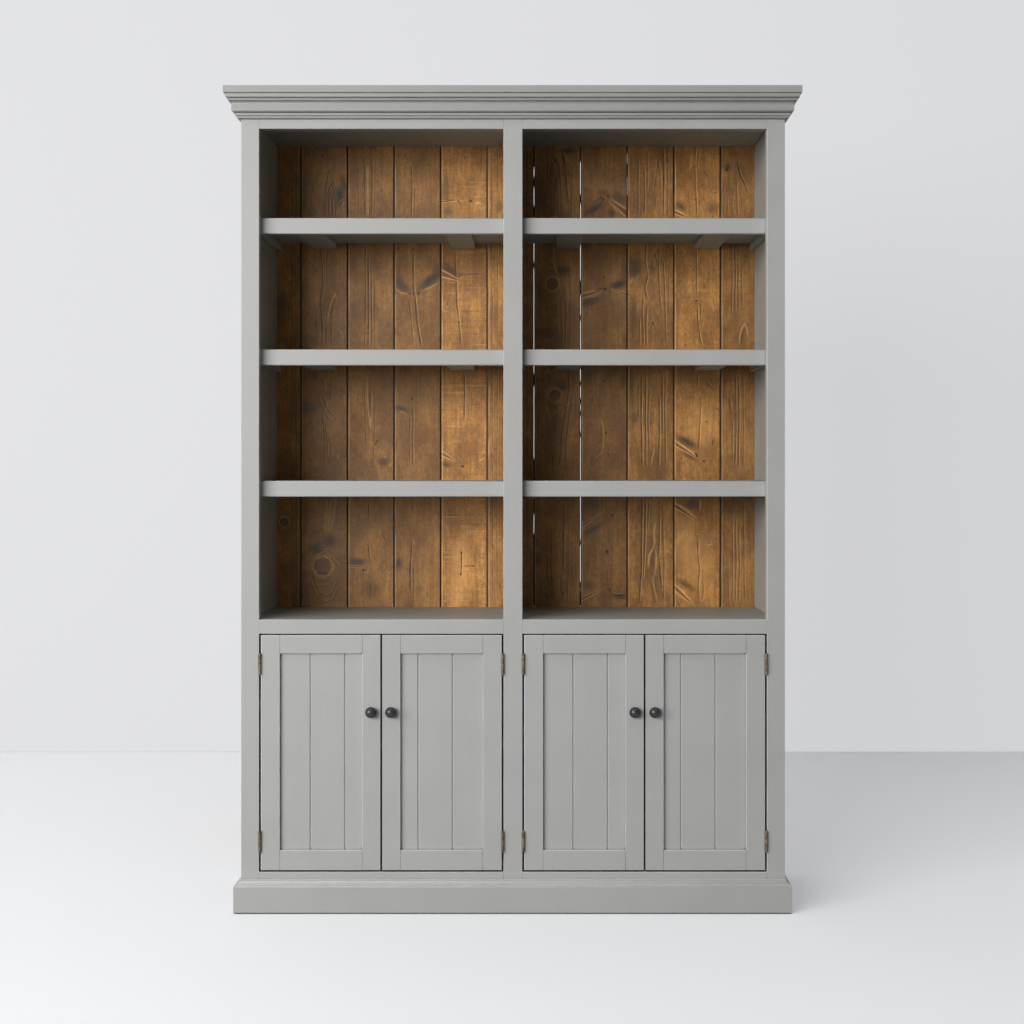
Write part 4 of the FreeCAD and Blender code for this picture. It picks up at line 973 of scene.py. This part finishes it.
def knot_colour(graph, tone):
    """A round knot: rings of its own, a dark rim and pale wood swept round it."""
    ragged = graph.noise(graph.places(), 120.0, 2.0)
    across, up, weight = graph.attribute_parts("knot")
    far = graph.math("ADD", distance(graph, across, up),
                     graph.stretch(ragged, 0.3, 0.7, -0.1, 0.1))
    ring = graph.math("ADD", graph.times(graph.math("SINE", graph.times(far, 15.0)), 0.5), 0.5)
    heart = graph.mix(graph.attribute("knot_red"), PINE_SMUDGE, PINE_SPIKE)
    heart = graph.mix(graph.times(ring, 0.6), heart, PINE_DARK)
    inside = graph.times(graph.stretch(far, 1.04, 0.94), weight, 0.72)
    rim = graph.times(graph.stretch(far, 0.86, 0.97), graph.stretch(far, 1.12, 1.0), weight, 0.7)
    halo = graph.times(graph.stretch(far, 1.05, 1.2), graph.stretch(far, 1.7, 1.25), weight, 0.26)
    for share, colour in ((halo, PINE_PALE), (inside, heart), (rim, PINE_DARK)):
        tone = graph.mix(share, tone, colour)
    return tone


def spike_colour(graph, tone):
    """A branch cut lengthwise: a reddish taper with a pale outline."""
    along, across, weight = graph.attribute_parts("spike")
    off = graph.math("ABSOLUTE", across)
    length = graph.times(graph.stretch(along, -0.15, 0.0), graph.stretch(along, 1.08, 0.95))
    body = graph.times(graph.stretch(off, 1.0, 0.7), length, weight, 0.75)
    line = graph.times(graph.stretch(off, 0.65, 0.95), graph.stretch(off, 1.5, 1.05),
                       length, weight, 0.65)
    heart = graph.mix(graph.attribute("spike_red"), PINE_SMUDGE, PINE_SPIKE)
    return graph.mix(line, graph.mix(body, tone, heart), PINE_PALE)


def mark_shape(graph):
    """1 in the middle of a small dark pit."""
    across, up, weight = graph.attribute_parts("mark")
    return graph.times(graph.stretch(distance(graph, across, up), 1.15, 0.75),
                       graph.stretch(weight, 0.3, 0.6))


def raw_pine(name):
    """Rough-sawn pine that was never stained, as the back of the boards is left."""
    graph = Surface(name, roughness=0.75)
    grain = graph.noise(graph.places((120.0, 1.0, 2.0)), 1.0, 3.0, 0.6)
    cloud = graph.noise(graph.places((14.0, 1.0, 4.0)), 1.0, 3.0, 0.6)
    saw = graph.noise(graph.places((3.0, 1.0, 420.0)), 1.0, 2.0, 0.5)
    tone = graph.mix(graph.stretch(cloud, 0.3, 0.7), scaled(RAW_PINE, 0.82), RAW_PINE)
    tone = graph.mix(graph.stretch(grain, 0.35, 0.7, 0.3, 0.0), tone, scaled(RAW_PINE, 0.55))
    graph.colour(tone)
    graph.bump(graph.math("ADD", saw, grain), 0.0006)
    return graph.material


def build_stage():
    """A pale floor, which takes the shadow, and a pale wall that barely shows one."""
    reach = 9.0
    for name, tone, glow, thrown, near, far in (
            ("floor", FLOOR, FLOOR_GLOW, FLOOR_THROWN, (-reach, 0), (reach, 0)),
            ("wall", WALL, WALL_GLOW, 1.0, (WALL_Y, 0), (WALL_Y, reach))):
        mesh = bpy.data.meshes.new(name)
        corners = [(-reach, *near), (reach, *near), (reach, *far), (-reach, *far)]
        mesh.from_pydata(corners, [], [range(4)])
        mesh.materials.append(stage_material(name, tone, glow, thrown))
        plane = bpy.data.objects.new(name, mesh)
        bpy.context.scene.collection.objects.link(plane)


def add_light(name, kind, power, colour):
    lamp = bpy.data.lights.new(name, kind)
    lamp.energy = power
    lamp.color = colour
    light = bpy.data.objects.new(name, lamp)
    bpy.context.scene.collection.objects.link(light)
    return light


def build_light():
    """A wide soft light from the front left, an even one from above and a trace from all round."""
    place, target = Vector((-3.9, -5.2, 2.35)), Vector((0.0, 0.0, 1.0))
    key = add_light("key", "AREA", KEY_POWER, KEY_LIGHT)
    key.data.shape = "RECTANGLE"
    key.data.size, key.data.size_y = 6.0, 2.6
    key.location = place
    key.rotation_euler = (target - place).to_track_quat("-Z", "Y").to_euler()
    key.visible_camera = False
    above = add_light("above", "SUN", TOP_POWER, TOP_LIGHT)
    above.data.angle = math.radians(90)
    above.rotation_euler = (0, math.radians(-8), 0)
    world = bpy.data.worlds.new("studio")
    bpy.context.scene.world = world
    world.use_nodes = True
    graph = Graph(world.node_tree)
    background = world.node_tree.nodes["Background"].inputs
    graph.feed(background["Color"], SKY)
    graph.feed(background["Strength"],
               graph.stretch(graph.seen(), 0.0, 1.0, WORLD_LIGHT, WORLD_SHOWN))


def build_camera():
    lens = bpy.data.cameras.new("camera")
    lens.lens = LENS
    lens.shift_x, lens.shift_y = SHIFT
    camera = bpy.data.objects.new("camera", lens)
    camera.location = EYE
    camera.rotation_euler = (math.radians(90), 0, 0)
    bpy.context.scene.collection.objects.link(camera)
    bpy.context.scene.camera = camera


dress_frame()
dress_hardware()
build_joint_lines()
build_boards()
build_stage()
build_light()
build_camera()
bpy.context.scene.view_settings.view_transform = "Standard"
